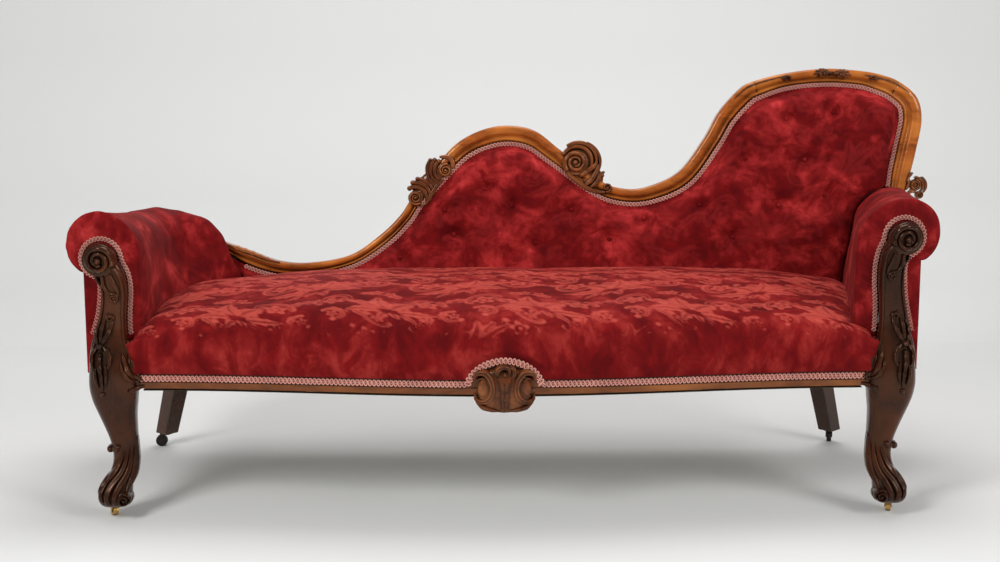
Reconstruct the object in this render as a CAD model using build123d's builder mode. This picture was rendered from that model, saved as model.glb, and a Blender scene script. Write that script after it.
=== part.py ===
from build123d import *
import math
import os

os.makedirs("parts", exist_ok=True)

# A Victorian show-wood fainting couch on casters, in millimetres.
# +X runs to the raised head end, +Y to the back, +Z up. The origin is on the floor,
# under the middle of the couch's box.

# Clearances
FIT = 0.3               # gap between neighbours that lie together
SOFT = 0.5              # gap between two upholstered forms

# Seat frame
CENTRE_X = -47          # middle of the seat frame
FRAME_HALF = 880        # middle to the outer face of an end rail
FRONT_Y = -276          # front face of the front rail at the legs
FRONT_BOW = 66          # how far the front rail bows forward
FRONT_RAIL_DEEP = 26
END_RAIL_THICK = 28
RAIL_BOTTOM = 288
RAIL_TOP = 372
BEAD_HIGH = 13          # polished bead along the foot of the front rail
BEAD_PROUD = 3
RAIL_END = 790          # middle to the shoulder where the front rail meets a leg

# Back, drawn on a plane that leans back
BACK_FOOT_Y = 215       # where that plane meets the floor
BACK_LEAN = 6.84        # degrees from upright
BACK_THICK = 34         # thickness of the polished back rails
REBATE = 8              # how far their inner flat lies behind the rounded front
UPRIGHT_WIDE = 52
UPRIGHT_FRONT = 12      # uprights lie this far behind the plane
BEAD_STEPS = [(1, 0, 0.64), (0.45, 0.03, 0.59), (0, 0.16, 0.45)]  # depth, and share of width

# Polished back frame, from the foot tip to the arm at the head end:
# (x, height along the plane, width) on the outer edge
BACK_EDGE = [
    (-720, 518, 16), (-646, 492, 32), (-574, 467, 30), (-500, 463, 27),
    (-406, 481, 22), (-334, 529, 24), (-285, 577, 24), (-256, 620, 24),
    (-190, 706, 33), (-141, 754, 36), (-81, 783, 38), (-21, 791, 38),
    (40, 778, 38), (97, 735, 34), (195, 660, 30), (255, 639, 30),
    (315, 645, 32), (388, 681, 34), (447, 760, 34), (483, 824, 36),
    (531, 877, 37), (565, 896, 36), (640, 915, 31), (735, 926, 33),
    (819, 921, 33), (870, 912, 38), (916, 895, 42), (960, 857, 45),
    (972, 802, 47), (959, 728, 48), (945, 670, 46), (934, 630, 40),
]
FOOT_END, ARCH_START, ARCH_END, SWEEP_START, CREST_START, POST_START = 7, 8, 13, 14, 21, 26
LAST = len(BACK_EDGE) - 1

# Casters
FRONT_WHEEL_RADIUS = 11.5
BACK_WHEEL_RADIUS = 14
WHEEL_WIDE = 11
CASTER_TRAIL = 13       # kingpin to axle
CHEEK_THICK = 2.2
CHEEK_EYE = 4.5         # radius of the cheek round the axle
CROWN_THICK = 2.6
PLATE_THICK = 2.0
PLATE_RADIUS = 15
STEM_RADIUS = 4
STEM_LONG = 20
AXLE_RADIUS = 1.8
RUNNING = 0.4           # clearance beside a turning caster part
BORE_CLEAR = 0.1        # clearance round a pin that turns in its bore
SOCKET_WALL = 1.6
SOCKET_LONG = 22
SOCKET_BORE = STEM_RADIUS + BORE_CLEAR + SOCKET_WALL + FIT
CROWN_CLEAR = 0.8       # wheel to crown
CASTER_OVER_WHEEL = CROWN_CLEAR + CROWN_THICK + RUNNING + PLATE_THICK
FRONT_LEG_FOOT = 2 * FRONT_WHEEL_RADIUS + CASTER_OVER_WHEEL
BACK_LEG_FOOT = 2 * BACK_WHEEL_RADIUS + CASTER_OVER_WHEEL

# Front legs: (height, inner side, outer side, front, back). Sides are measured from the
# seat's middle, front and back from the front rail's face.
LEG_FORM = [
    (FRONT_LEG_FOOT, 808, 866, -16, 36), (50, 799, 873, -26, 30), (83, 800, 855, -14, 42),
    (125, 786, 840, 4, 54), (175, 788, 847, 2, 60), (230, 788, 866, -14, 62),
    (RAIL_BOTTOM, 776, 884, -28, 58), (340, 786, 884, -26, 58), (RAIL_TOP, 786, 880, -20, 58),
]
LEG_CORNER = 12
LEG_BACK = 52           # rail's front face to the leg's flat back, where an end rail meets it
LEG_CASTER = (836, -262)       # kingpin: from the seat's middle, and across

# Arm facings over the front legs: (share of the height to the volute, inner, outer side)
FACING_FORM = [(0, 802, 878), (0.15, 808, 870), (0.42, 797, 852), (0.72, 793, 847), (1, 797, 850)]
FACING_FRONT = -12      # from the front rail's face
FACING_THICK = 32
FACING_CORNER = 7
VOLUTE_AT = 849         # seat's middle to a volute's centre
VOLUTE_RADIUS = 35
VOLUTE_PROUD = 6
VOLUTE_EYE = 8
VOLUTE_FOOT_Z = 565     # the arm at the foot is the lower one
VOLUTE_HEAD_Z = 606
GROOVE_WIDE = 4
GROOVE_DEEP = 4
TOE_RADIUS = 12
TOE_AT = (812, 46)

# Back legs, set cornerwise and raked out and back
BACK_LEG_TOP = (750, 214)      # from the seat's middle, and across
BACK_LEG_END = (816, 293)
BACK_LEG_TOP_SIZE = 46
BACK_LEG_END_SIZE = 38
BLOCK_SIDE = 190
BLOCK_HIGH = 36

# Springing
WEB_WIDE = 50
WEB_THICK = 2.5
HESSIAN_THICK = 2
SPRING_RADIUS = 34
SPRING_WAIST = 22
SPRING_WIRE = 3.4
SPRING_TURNS = 3
SPRING_SIDES = 8        # straight runs in a turn
SPRING_COLUMNS = 6
SPRING_ROWS = 3
SPRING_PITCH_X = 262
SPRING_PITCH_Y = 130
SPRING_MIDDLE_Y = 5

# Seat cover
SEAT_APRON_Z = 320      # where the cover ends above the braid
SEAT_EDGE_Z = 446       # top of the roll along the front edge
SEAT_CROWN_Z = 470
SEAT_REAR_Z = 444
SEAT_REAR_Y = 238       # before it is cut back to the leaning back cover
SEAT_END = 784          # middle to the cover's ends between the legs
SEAT_PROUD = 20         # cover beyond the rail's face
SEAT_ROLL = 34          # depth of the front roll
SEAT_STEPS = 8
SEAT_FOOT = RAIL_TOP + HESSIAN_THICK + FIT

# Back cover
BACK_PROUD = 34         # crown of the back before its plane
BACK_FLANGE = 6         # thickness under the braid
BACK_FOOT = 380         # height along the plane of its lower edge
BACK_LEFT = -700        # ends of that edge, behind the arms
BACK_RIGHT = 790
BACK_FORM = [(0, 0), (0.5, 5), (0.84, 15), (1, 34)]     # share of the crown, and inset
OUTSIDE_THICK = 3
OUTSIDE_FOOT = 296
BACK_WEBS = [(404, -710, 845), (480, -282, 860), (560, -8, 860)]    # (height, start, end)
BUTTON_RADIUS = 6
BUTTON_THICK = 4
BUTTON_SIDES = 10        # buttons and pits are ten-sided
TUFT_RADIUS = 20
TUFT_DEEP = 7
TUFTS = [
    (638, 806), (752, 820), (541, 711), (684, 708), (299, 568), (432, 600), (622, 600),
    (733, 622), (512, 523), (39, 510), (216, 519), (-82, 640), (125, 590), (-18, 600),
    (-156, 532), (-177, 590), (-285, 476),
]

# Arm covers: (inwards from the frame's end, y, degrees turned, height and radius of the roll,
# then from the roll's centre to the inner wall at the shoulder, the inner wall at the foot,
# the outer wall there)
ARM_THICK = 52          # thickness of a wall at the shoulder
FOOT_FORM = [
    (27, -255.7, 0, 596, 70, 84, 84, 32), (27, -70, 0, 573, 64, 86, 108, 34),
    (28, 60, 6, 558, 59, 90, 146, 38), (38, 160, 25, 551, 56, 88, 166, 36),
    (72, 238, 40, 547, 54, 84, 174, 32), (121, 262, 49, 541, 49, 74, 147, 22),
    (173, 262, 57, 530, 43, 60, 100, 8), (207, 257, 62, 502, 35, 40, 59, -12),
    (232, 252, 70, 466, 28, 26, 30, -26), (263, 250, 90, 424, 20, 17, 19, -35),
]
HEAD_FORM = [(25, -255.7, 0, 617, 71, 108, 108, 56), (-73, 300, 0, 585, 51, 88, 125, 73)]
FOOT_ARM = [(CENTRE_X - FRAME_HALF + inwards, *rest) for inwards, *rest in FOOT_FORM]
HEAD_ARM = [(CENTRE_X + FRAME_HALF - inwards, *rest) for inwards, *rest in HEAD_FORM]
ARM_END_X = -728        # beyond this the foot arm keeps before the polished rail's plane
ARM_RAIL_WIDE = 44
HEAD_ARM_RAIL_WIDE = 34
ARM_RAIL_HIGH = 40
PANEL_THICK = 6
CLOTH_THICK = 1.2

# Braid
GIMP_WIDE = 17
GIMP_THICK = 3
ARM_GIMP_WIDE = 10

# Carving
CARVE_PROUD = 8
LEAST_SPIRAL = 15       # a smaller disc of the carving has no spiral
CARTOUCHE_WIDE = 140
CARTOUCHE_HIGH = 106
CARTOUCHE_Z = 300
CARTOUCHE_THICK = 17

BACK = Plane(
    origin=(0, BACK_FOOT_Y, 0),
    x_dir=(1, 0, 0),
    z_dir=(0, -math.cos(math.radians(BACK_LEAN)), math.sin(math.radians(BACK_LEAN))),
)
BACK_COS = math.cos(math.radians(BACK_LEAN))
REAR_AT_TOP = BACK_FOOT_Y + RAIL_TOP * math.tan(math.radians(BACK_LEAN))
FACING_REAR = FRONT_Y + FACING_FRONT + FACING_THICK
SIDES = {"left": -1, "right": 1}


def save(piece, label):
    """Name a finished piece and write it."""
    piece.part.label = label
    export_step(piece.part, f"parts/{label}.step")


def edge_points(first, last, share, extra=0.0):
    """Points along the polished back at a share of its width, and further in by extra."""
    points = []
    for i in range(first, last + 1):
        x, s, width = BACK_EDGE[i]
        before, after = BACK_EDGE[max(i - 1, 0)], BACK_EDGE[min(i + 1, LAST)]
        along = Vector(after[0] - before[0], after[1] - before[1]).normalized()
        inward = width * share + extra
        points.append((x + along.Y * inward, s - along.X * inward))
    return points


def band(first, last, near, far, extra=0.0):
    """Outline of the band between two shares of the back rails' width."""
    outer = edge_points(first, last, near)
    inner = edge_points(first, last, far, extra)
    with BuildLine() as outline:
        for line in (outer, inner):
            Spline(*line) if len(line) > 2 else Line(*line)
        Line(outer[0], inner[0])
        Line(outer[-1], inner[-1])
    return outline.edges()


# --- Seat frame ---


def front_y(across):
    """Face of the serpentine front rail at a distance from the seat's middle."""
    return FRONT_Y - FRONT_BOW * math.cos(math.pi * across / (2 * RAIL_END)) ** 2


def front_points(start, end, out, steps=8):
    """Points along the serpentine, moved forward by out."""
    spots = [start + (end - start) * i / steps for i in range(steps + 1)]
    return [(CENTRE_X + spot, front_y(spot) - out) for spot in spots]


def serpentine(start, end, out, back):
    """Outline in plan of a strip along the front rail, from out to back before its face."""
    face, rear = front_points(start, end, out), front_points(start, end, back)
    with BuildLine() as outline:
        Spline(*face)
        Spline(*rear)
        Line(face[0], rear[0])
        Line(face[-1], rear[-1])
    return outline.edges()


with BuildPart() as front_rail:
    with BuildSketch(Plane.XY.offset(RAIL_BOTTOM)):
        make_face(serpentine(-RAIL_END, RAIL_END, 0, -FRONT_RAIL_DEEP))
    extrude(amount=RAIL_TOP - RAIL_BOTTOM)
    with BuildSketch(Plane.XY.offset(RAIL_BOTTOM)):
        make_face(serpentine(-RAIL_END, RAIL_END, BEAD_PROUD, -FRONT_RAIL_DEEP))
    extrude(amount=BEAD_HIGH)
save(front_rail, "front_rail")

with BuildPart() as back_rail:
    with BuildSketch(BACK):
        with Locations((CENTRE_X, (RAIL_TOP + RAIL_BOTTOM) / 2)):
            Rectangle(2 * FRAME_HALF, RAIL_TOP)
    extrude(amount=-BACK_THICK)
    split(bisect_by=Plane.XY.offset(RAIL_TOP), keep=Keep.BOTTOM)
    split(bisect_by=Plane.XY.offset(RAIL_BOTTOM), keep=Keep.TOP)
save(back_rail, "back_rail")


def end_rail(name):
    """A rail from the flat back of a front leg to the leaning back rail."""
    side = SIDES[name]
    with BuildPart() as rail:
        with BuildSketch(Plane.XY.offset(RAIL_BOTTOM)):
            with Locations((CENTRE_X + side * (FRAME_HALF - END_RAIL_THICK / 2), FRONT_Y + LEG_BACK)):
                Rectangle(END_RAIL_THICK, 2 * BACK_FOOT_Y, align=(Align.CENTER, Align.MIN))
        extrude(amount=RAIL_TOP - RAIL_BOTTOM)
        split(bisect_by=BACK, keep=Keep.TOP)
    save(rail, f"end_rail_{name}")


for name in SIDES:
    end_rail(name)

with BuildPart() as corner_blocks:
    with BuildSketch(Plane.XY.offset(RAIL_BOTTOM)):
        for side in SIDES.values():
            inner = FRAME_HALF - END_RAIL_THICK
            corner = BACK_FOOT_Y + RAIL_BOTTOM * math.tan(math.radians(BACK_LEAN))
            with BuildLine():
                Polyline(
                    (CENTRE_X + side * inner, corner - BLOCK_SIDE),
                    (CENTRE_X + side * inner, corner + BACK_THICK / 2),
                    (CENTRE_X + side * (inner - BLOCK_SIDE), corner + BACK_THICK / 2),
                    (CENTRE_X + side * (inner - BLOCK_SIDE), corner),
                    close=True,
                )
            make_face()
    extrude(amount=BLOCK_HIGH)
    split(bisect_by=BACK, keep=Keep.TOP)
save(corner_blocks, "corner_blocks")


# --- Legs and arm facings ---


def spiral(outside, step, halves, hand):
    """A volute's groove: half turns whose radius shrinks by the same step."""
    ends = [hand * (-1) ** i * (outside - step * i) for i in range(halves + 1)]
    with BuildLine() as groove:
        for i in range(halves):
            middle, radius = (ends[i] + ends[i + 1]) / 2, abs(ends[i] - ends[i + 1]) / 2
            ThreePointArc((ends[i], 0), (middle, (-1) ** i * radius), (ends[i + 1], 0))
    return groove.line


def facing_forward(x, y, z):
    """A plane across the couch that looks out to the front."""
    return Plane(origin=(x, y, z), x_dir=(1, 0, 0), z_dir=(0, -1, 0))


def front_leg(name, volute_z):
    """A cabriole leg with its arm facing and volute, cut from one plank."""
    side = SIDES[name]
    with BuildPart() as leg:
        for z, inner, outer, front, back in LEG_FORM:
            with BuildSketch(Plane.XY.offset(z)):
                with Locations((CENTRE_X + side * (inner + outer) / 2, FRONT_Y + (front + back) / 2)):
                    RectangleRounded(outer - inner, back - front, LEG_CORNER)
        loft()
        # Flats for the shoulders of the front rail and the end rail
        with BuildSketch(Plane.XY.offset(RAIL_BOTTOM)):
            with Locations((CENTRE_X + side * RAIL_END / 2, FRONT_Y)):
                Rectangle(RAIL_END, 4 * LEG_BACK)
            with Locations((CENTRE_X + side * VOLUTE_AT, FRONT_Y + LEG_BACK)):
                Rectangle(4 * LEG_BACK, LEG_BACK, align=(Align.CENTER, Align.MIN))
        extrude(amount=RAIL_TOP - RAIL_BOTTOM, mode=Mode.SUBTRACT)
        # The facing over the seat rail
        for share, inner, outer in FACING_FORM:
            z = RAIL_TOP + share * (volute_z - RAIL_TOP)
            with BuildSketch(Plane.XY.offset(z)):
                with Locations((CENTRE_X + side * (inner + outer) / 2, FACING_REAR - FACING_THICK / 2)):
                    RectangleRounded(outer - inner, FACING_THICK, FACING_CORNER)
        loft()
        # Volutes of the arm and the toe
        volute = facing_forward(CENTRE_X + side * VOLUTE_AT, FACING_REAR, volute_z)
        face = volute.offset(FACING_THICK + VOLUTE_PROUD)
        with BuildSketch(volute):
            Circle(VOLUTE_RADIUS)
        extrude(amount=FACING_THICK + VOLUTE_PROUD)
        with BuildSketch(face):
            trace(spiral(VOLUTE_RADIUS - GROOVE_WIDE, GROOVE_WIDE + 1, 4, side), GROOVE_WIDE)
            Circle(VOLUTE_EYE, mode=Mode.SUBTRACT)
        extrude(amount=-GROOVE_DEEP, mode=Mode.SUBTRACT)
        with BuildSketch(face):
            Circle(VOLUTE_EYE)
        extrude(amount=VOLUTE_EYE / 2, taper=30)
        toe = facing_forward(CENTRE_X + side * TOE_AT[0], FRONT_Y, TOE_AT[1])
        with BuildSketch(toe):
            Circle(TOE_RADIUS)
        extrude(amount=-LEG_FORM[1][3])
        # Bore for the caster's socket
        with BuildSketch(Plane.XY.offset(FRONT_LEG_FOOT)):
            with Locations((CENTRE_X + side * LEG_CASTER[0], LEG_CASTER[1])):
                Circle(SOCKET_BORE)
        extrude(amount=SOCKET_LONG + FIT, mode=Mode.SUBTRACT)
    save(leg, f"front_leg_{name}")
    return leg


VOLUTE_Z = {"left": VOLUTE_FOOT_Z, "right": VOLUTE_HEAD_Z}
legs = {name: front_leg(name, VOLUTE_Z[name]) for name in SIDES}


def back_leg(name):
    """A square leg set cornerwise, raked out and back."""
    side = SIDES[name]
    ends = [
        (RAIL_BOTTOM, BACK_LEG_TOP, BACK_LEG_TOP_SIZE),
        (BACK_LEG_FOOT, BACK_LEG_END, BACK_LEG_END_SIZE),
    ]
    with BuildPart() as leg:
        for z, (across, y), size in ends:
            with BuildSketch(Plane.XY.offset(z)):
                with Locations(Location((CENTRE_X + side * across, y), 45)):
                    Rectangle(size, size)
        loft(ruled=True)
        with BuildSketch(Plane.XY.offset(BACK_LEG_FOOT)):
            with Locations((CENTRE_X + side * BACK_LEG_END[0], BACK_LEG_END[1])):
                Circle(SOCKET_BORE)
        extrude(amount=SOCKET_LONG + FIT, mode=Mode.SUBTRACT)
    save(leg, f"back_leg_{name}")


for name in SIDES:
    back_leg(name)


# --- Casters ---

# (kingpin x, y, wheel radius, degrees from +X that the wheel trails at rest)
CASTERS = {
    "front_left": (CENTRE_X - LEG_CASTER[0], LEG_CASTER[1], FRONT_WHEEL_RADIUS, 120),
    "front_right": (CENTRE_X + LEG_CASTER[0], LEG_CASTER[1], FRONT_WHEEL_RADIUS, 75),
    "back_left": (CENTRE_X - BACK_LEG_END[0], BACK_LEG_END[1], BACK_WHEEL_RADIUS, 180),
    "back_right": (CENTRE_X + BACK_LEG_END[0], BACK_LEG_END[1], BACK_WHEEL_RADIUS, 80),
}


def caster(name):
    """A socket in the leg, and a swivelling horn with its axle pin and wheel."""
    x, y, radius, heading = CASTERS[name]
    along = Vector(math.cos(math.radians(heading)), math.sin(math.radians(heading)))
    level = Plane(origin=(x, y, 0), x_dir=along, z_dir=(0, 0, 1))
    upright = Plane(origin=(x, y, 0), x_dir=along, z_dir=(along.Y, -along.X, 0))
    crown = 2 * radius + CROWN_CLEAR
    gap = WHEEL_WIDE / 2 + RUNNING
    wide = gap + CHEEK_THICK
    plate = crown + CROWN_THICK + RUNNING
    with BuildPart() as socket:
        with BuildSketch(level.offset(plate)):
            Circle(PLATE_RADIUS)
        extrude(amount=PLATE_THICK)
        with BuildSketch(level.offset(plate + PLATE_THICK)):
            Circle(SOCKET_BORE - FIT)
        extrude(amount=SOCKET_LONG)
        with BuildSketch(level.offset(plate)):
            Circle(STEM_RADIUS + BORE_CLEAR)
        extrude(amount=PLATE_THICK + SOCKET_LONG, mode=Mode.SUBTRACT)
    save(socket, f"caster_socket_{name}")
    with BuildPart() as horn:
        with BuildSketch(level.offset(crown)):
            with Locations((CASTER_TRAIL / 2, 0)):
                Rectangle(CASTER_TRAIL + 4 * AXLE_RADIUS, 2 * wide)
            Circle(wide)
        extrude(amount=CROWN_THICK)
        with BuildSketch(level.offset(crown + CROWN_THICK)):
            Circle(STEM_RADIUS)
        extrude(amount=STEM_LONG)
        for near in (gap, -wide):
            with BuildSketch(upright.offset(near)):
                with Locations((CASTER_TRAIL, radius)):
                    Circle(CHEEK_EYE)
                with Locations((CASTER_TRAIL, crown)):
                    Rectangle(2 * CHEEK_EYE, CROWN_CLEAR, align=(Align.MAX, Align.MIN))
                make_hull()
                with Locations((CASTER_TRAIL, radius)):
                    Circle(AXLE_RADIUS, mode=Mode.SUBTRACT)
            extrude(amount=CHEEK_THICK)
    save(horn, f"caster_horn_{name}")
    with BuildPart() as axle:
        with BuildSketch(upright.offset(-wide)):
            with Locations((CASTER_TRAIL, radius)):
                Circle(AXLE_RADIUS)
        extrude(amount=2 * wide)
    save(axle, f"caster_axle_{name}")
    with BuildPart() as wheel:
        with BuildSketch(upright.offset(-WHEEL_WIDE / 2)):
            with Locations((CASTER_TRAIL, radius)):
                Circle(radius)
                Circle(AXLE_RADIUS + BORE_CLEAR, mode=Mode.SUBTRACT)
        extrude(amount=WHEEL_WIDE)
    save(wheel, f"caster_wheel_{name}")


for name in CASTERS:
    caster(name)


# --- Polished back frame ---


def show_rail(label, first, last):
    """A polished back rail: a flat rebate inside and a rounded bead outside."""
    with BuildPart() as rail:
        with BuildSketch(BACK.offset(-BACK_THICK)):
            make_face(band(first, last, 0, 1))
        extrude(amount=BACK_THICK - REBATE)
        for depth, near, far in BEAD_STEPS:
            with BuildSketch(BACK.offset(-REBATE * depth)):
                make_face(band(first, last, near, far))
        loft(ruled=True)
    save(rail, label)
    return rail


foot_rail = show_rail("foot_rail", 0, FOOT_END)
arch_rail = show_rail("arch_rail", ARCH_START, ARCH_END)
head_sweep_rail = show_rail("head_sweep_rail", SWEEP_START, CREST_START)
crest_rail = show_rail("crest_rail", CREST_START, POST_START)
head_post = show_rail("head_post", POST_START, LAST)


def on_back(x, s, out):
    """The back's plane with its origin at a point, moved forward by out."""
    return Plane(origin=BACK.from_local_coords((x, s, out)), x_dir=BACK.x_dir, z_dir=BACK.z_dir)


def carved_scroll(label, span, body, relief, neighbours):
    """A carved joint: its body stands clear of the cover, its relief lies over the rails."""
    with BuildPart() as scroll:
        with BuildSketch(BACK.offset(-BACK_THICK)):
            for x, s, radius in body:
                with Locations((x, s)):
                    Circle(radius)
        extrude(amount=BACK_THICK)
        for neighbour in neighbours:
            add(neighbour.part, mode=Mode.SUBTRACT)
        if span:
            with BuildSketch(BACK.offset(-BACK_THICK)):
                make_face(band(*span, 0, 1))
            extrude(amount=BACK_THICK)
        with BuildSketch(BACK):
            for x, s, radius, _ in relief:
                with Locations((x, s)):
                    Circle(radius)
        extrude(amount=CARVE_PROUD)
        for x, s, radius, hand in relief:
            if radius < LEAST_SPIRAL:
                continue
            with BuildSketch(on_back(x, s, CARVE_PROUD)):
                halves = min(4, int((radius - GROOVE_WIDE - 1) / GROOVE_WIDE))
                trace(spiral(radius - GROOVE_WIDE, GROOVE_WIDE, halves, hand), GROOVE_WIDE)
            extrude(amount=-GROOVE_DEEP, mode=Mode.SUBTRACT)
    save(scroll, label)
    return scroll


# Discs of the carving: (x, height along the plane, radius); relief has the hand of its spiral
scroll_pair = carved_scroll(
    "scroll_pair", (FOOT_END, ARCH_START),
    [(-240, 650, 13), (-213, 682, 13)],
    [(-249, 618, 15, 1), (-177, 682, 15, 1), (-235, 652, 12, 1), (-208, 678, 12, -1)],
    [foot_rail, arch_rail],
)
centre_scroll = carved_scroll(
    "centre_scroll", (ARCH_END, SWEEP_START),
    [(138, 702, 28), (163, 690, 22)],
    [(136, 700, 34, 1), (174, 682, 16, -1), (192, 660, 14, 1), (206, 640, 12, -1)],
    [arch_rail, head_sweep_rail],
)
carved_scroll(
    "end_scroll", None,
    [(955, 646, 17), (963, 622, 13)],
    [(956, 646, 14, 1), (963, 624, 10, -1)],
    [head_post],
)
carved_scroll(
    "crest_carving", None,
    [(712, 927, 9), (742, 927, 9), (778, 926, 9), (808, 925, 9)],
    [(712, 921, 11, 1), (742, 922, 11, -1), (778, 921, 11, 1), (808, 919, 11, -1)],
    [crest_rail],
)


def upright(foot, top, wide, neighbour):
    """A hidden board of the back from the back rail up to a polished rail."""
    low = RAIL_TOP - BACK_THICK
    with BuildPart() as board:
        with BuildSketch(BACK.offset(-UPRIGHT_FRONT)):
            with BuildLine():
                Polyline(
                    (foot - wide / 2, low), (foot + wide / 2, low),
                    (top[0] + wide / 2, top[1]), (top[0] - wide / 2, top[1]), close=True,
                )
            make_face()
        extrude(amount=UPRIGHT_FRONT - BACK_THICK)
        split(bisect_by=Plane.XY.offset(RAIL_TOP), keep=Keep.TOP)
        add(neighbour.part, mode=Mode.SUBTRACT)
    return board.solids().sort_by(SortBy.VOLUME)[-1]


with BuildPart() as back_uprights:
    # (middle at the foot, middle and height at the top, width, the rail that it carries)
    for foot, top, wide, neighbour in [
        (-698, (-698, 500), 36, foot_rail),
        (-262, (-262, 597), UPRIGHT_WIDE, foot_rail),
        (15, (15, 765), UPRIGHT_WIDE, arch_rail),
        (480, (480, 780), UPRIGHT_WIDE, head_sweep_rail),
        (804, (912, 638), 46, head_post),
    ]:
        add(upright(foot, top, wide, neighbour))
save(back_uprights, "back_uprights")


# --- Springing of the seat ---

INNER_HALF = FRAME_HALF - END_RAIL_THICK

with BuildPart() as seat_webbing:
    # Cross webs are nailed under the rails, long webs run below them
    for i in range(SPRING_COLUMNS):
        across = (i - (SPRING_COLUMNS - 1) / 2) * SPRING_PITCH_X
        with BuildSketch(Plane.XY.offset(RAIL_BOTTOM)):
            near, far = front_y(across) + FRONT_RAIL_DEEP / 3, REAR_AT_TOP + BACK_THICK / 3
            with Locations((CENTRE_X + across, (near + far) / 2)):
                Rectangle(WEB_WIDE, far - near)
        extrude(amount=-WEB_THICK)
    with BuildSketch(Plane.XY.offset(RAIL_BOTTOM - WEB_THICK)):
        with Locations((CENTRE_X, SPRING_MIDDLE_Y)):
            with GridLocations(0, SPRING_PITCH_Y, 1, SPRING_ROWS):
                Rectangle(2 * INNER_HALF + END_RAIL_THICK, WEB_WIDE)
    extrude(amount=-WEB_THICK)
save(seat_webbing, "seat_webbing")


def spring_plane(turn):
    """Plane across the wire after some turns of the hourglass coil, whose end turns lie flat."""
    climb = min(max((turn - 0.5) / (SPRING_TURNS - 1), 0), 1)
    radius = SPRING_WAIST + (SPRING_RADIUS - SPRING_WAIST) * abs(2 * turn / SPRING_TURNS - 1)
    height = RAIL_BOTTOM + SPRING_WIRE / 2 + climb * (RAIL_TOP - RAIL_BOTTOM - SPRING_WIRE)
    out = Vector(math.cos(2 * math.pi * turn), math.sin(2 * math.pi * turn), 0)
    return Plane(origin=out * radius + Vector(0, 0, height), x_dir=out, z_dir=(-out.Y, out.X, 0))


with BuildPart() as spring:
    for i in range(SPRING_TURNS * SPRING_SIDES + 1):
        with BuildSketch(spring_plane(i / SPRING_SIDES)):
            Rectangle(SPRING_WIRE, SPRING_WIRE)
    loft(ruled=True)

with BuildPart() as seat_springs:
    with Locations((CENTRE_X, SPRING_MIDDLE_Y, 0)):
        with GridLocations(SPRING_PITCH_X, SPRING_PITCH_Y, SPRING_COLUMNS, SPRING_ROWS):
            add(spring.part)
save(seat_springs, "seat_springs")


def seat_plan(half, rear_y, corner):
    """Outline in plan from behind the serpentine face to a rear edge with its corners cut."""
    face = front_points(-half, half, -FIT)
    left, right = CENTRE_X - half, CENTRE_X + half
    with BuildLine() as outline:
        Spline(*face)
        Polyline(
            face[-1], (right, rear_y - corner), (right - corner, rear_y),
            (left + corner, rear_y), (left, rear_y - corner), face[0],
        )
    return outline.edges()


with BuildPart() as seat_hessian:
    with BuildSketch(Plane.XY.offset(RAIL_TOP)):
        make_face(seat_plan(RAIL_END - 1, REAR_AT_TOP, HESSIAN_THICK))
    extrude(amount=HESSIAN_THICK)
save(seat_hessian, "seat_hessian")

with BuildPart() as bottoming_cloth:
    low = RAIL_BOTTOM - 2 * WEB_THICK - FIT - CLOTH_THICK
    with BuildSketch(Plane.XY.offset(low)):
        make_face(seat_plan(RAIL_END - 20, REAR_AT_TOP - 10, 210))
    extrude(amount=CLOTH_THICK)
save(bottoming_cloth, "bottoming_cloth")


# --- Arms ---


def roll_profile(z, radius, shoulder, foot, outer, grow):
    """Section of an arm cover, outwards from the roll's centre and up: a wall and its roll."""
    low, under = SEAT_FOOT - 2 * grow, z - 0.9 * radius - grow
    wall = ARM_THICK - shoulder + grow
    radius += grow
    shoulder_z = z - 0.5 * radius
    with BuildLine() as section:
        Line((-foot - grow, low), (-shoulder - grow, shoulder_z))
        ThreePointArc(
            (-shoulder - grow, shoulder_z),
            (-0.72 * shoulder - 0.05 * radius, z + 0.5 * radius),
            (-0.15 * radius, z + 0.99 * radius),
        )
        ThreePointArc(
            (-0.15 * radius, z + 0.99 * radius), (0.66 * radius, z + 0.75 * radius), (radius, z)
        )
        ThreePointArc((radius, z), (0.92 * radius, z - 0.48 * radius), (0.55 * radius, under))
        Polyline((0.55 * radius, under), (wall, under), (grow - outer, low), (-foot - grow, low))
    return section.edges()


def arm(path, side, grow=0.0):
    """An arm cover, run through its sections from the facing to the back."""
    with BuildPart() as cover:
        for x, y, turned, z, radius, shoulder, foot, outer in path:
            angle = math.radians(turned)
            out = Vector(side * math.cos(angle), math.sin(angle), 0)
            along = Vector(math.sin(angle), math.cos(angle), 0) * -side
            with BuildSketch(Plane(origin=(x, y, 0), x_dir=out, z_dir=along)):
                make_face(roll_profile(z, radius, shoulder, foot, outer, grow))
        loft(ruled=True)
        if not grow:
            with BuildSketch(BACK.offset(FIT)):
                with Locations((ARM_END_X, RAIL_TOP)):
                    Rectangle(4 * FRAME_HALF, 4 * RAIL_TOP, align=(Align.MIN, Align.CENTER))
            extrude(amount=-4 * BACK_THICK, mode=Mode.SUBTRACT)
    return cover


arm_cover_left, arm_cover_right = arm(FOOT_ARM, -1), arm(HEAD_ARM, 1)
foot_room, head_room = arm(FOOT_ARM, -1, 2 * SOFT), arm(HEAD_ARM, 1, SOFT)
save(arm_cover_left, "arm_cover_left")
save(arm_cover_right, "arm_cover_right")

# Boards under the rolls, from the back of each facing to a stump or the head upright
STUMP_Y = 140
UNDER_FRONT = FOOT_ARM[0][3] - 0.9 * FOOT_ARM[0][4] - 3
UNDER_BACK = FOOT_ARM[3][3] - 0.9 * FOOT_ARM[3][4] - 8


def side_view(x):
    """A plane that looks out of the couch's right side, with its x axis to the back."""
    return Plane(origin=(x, 0, 0), x_dir=(0, 1, 0), z_dir=(1, 0, 0))


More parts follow.
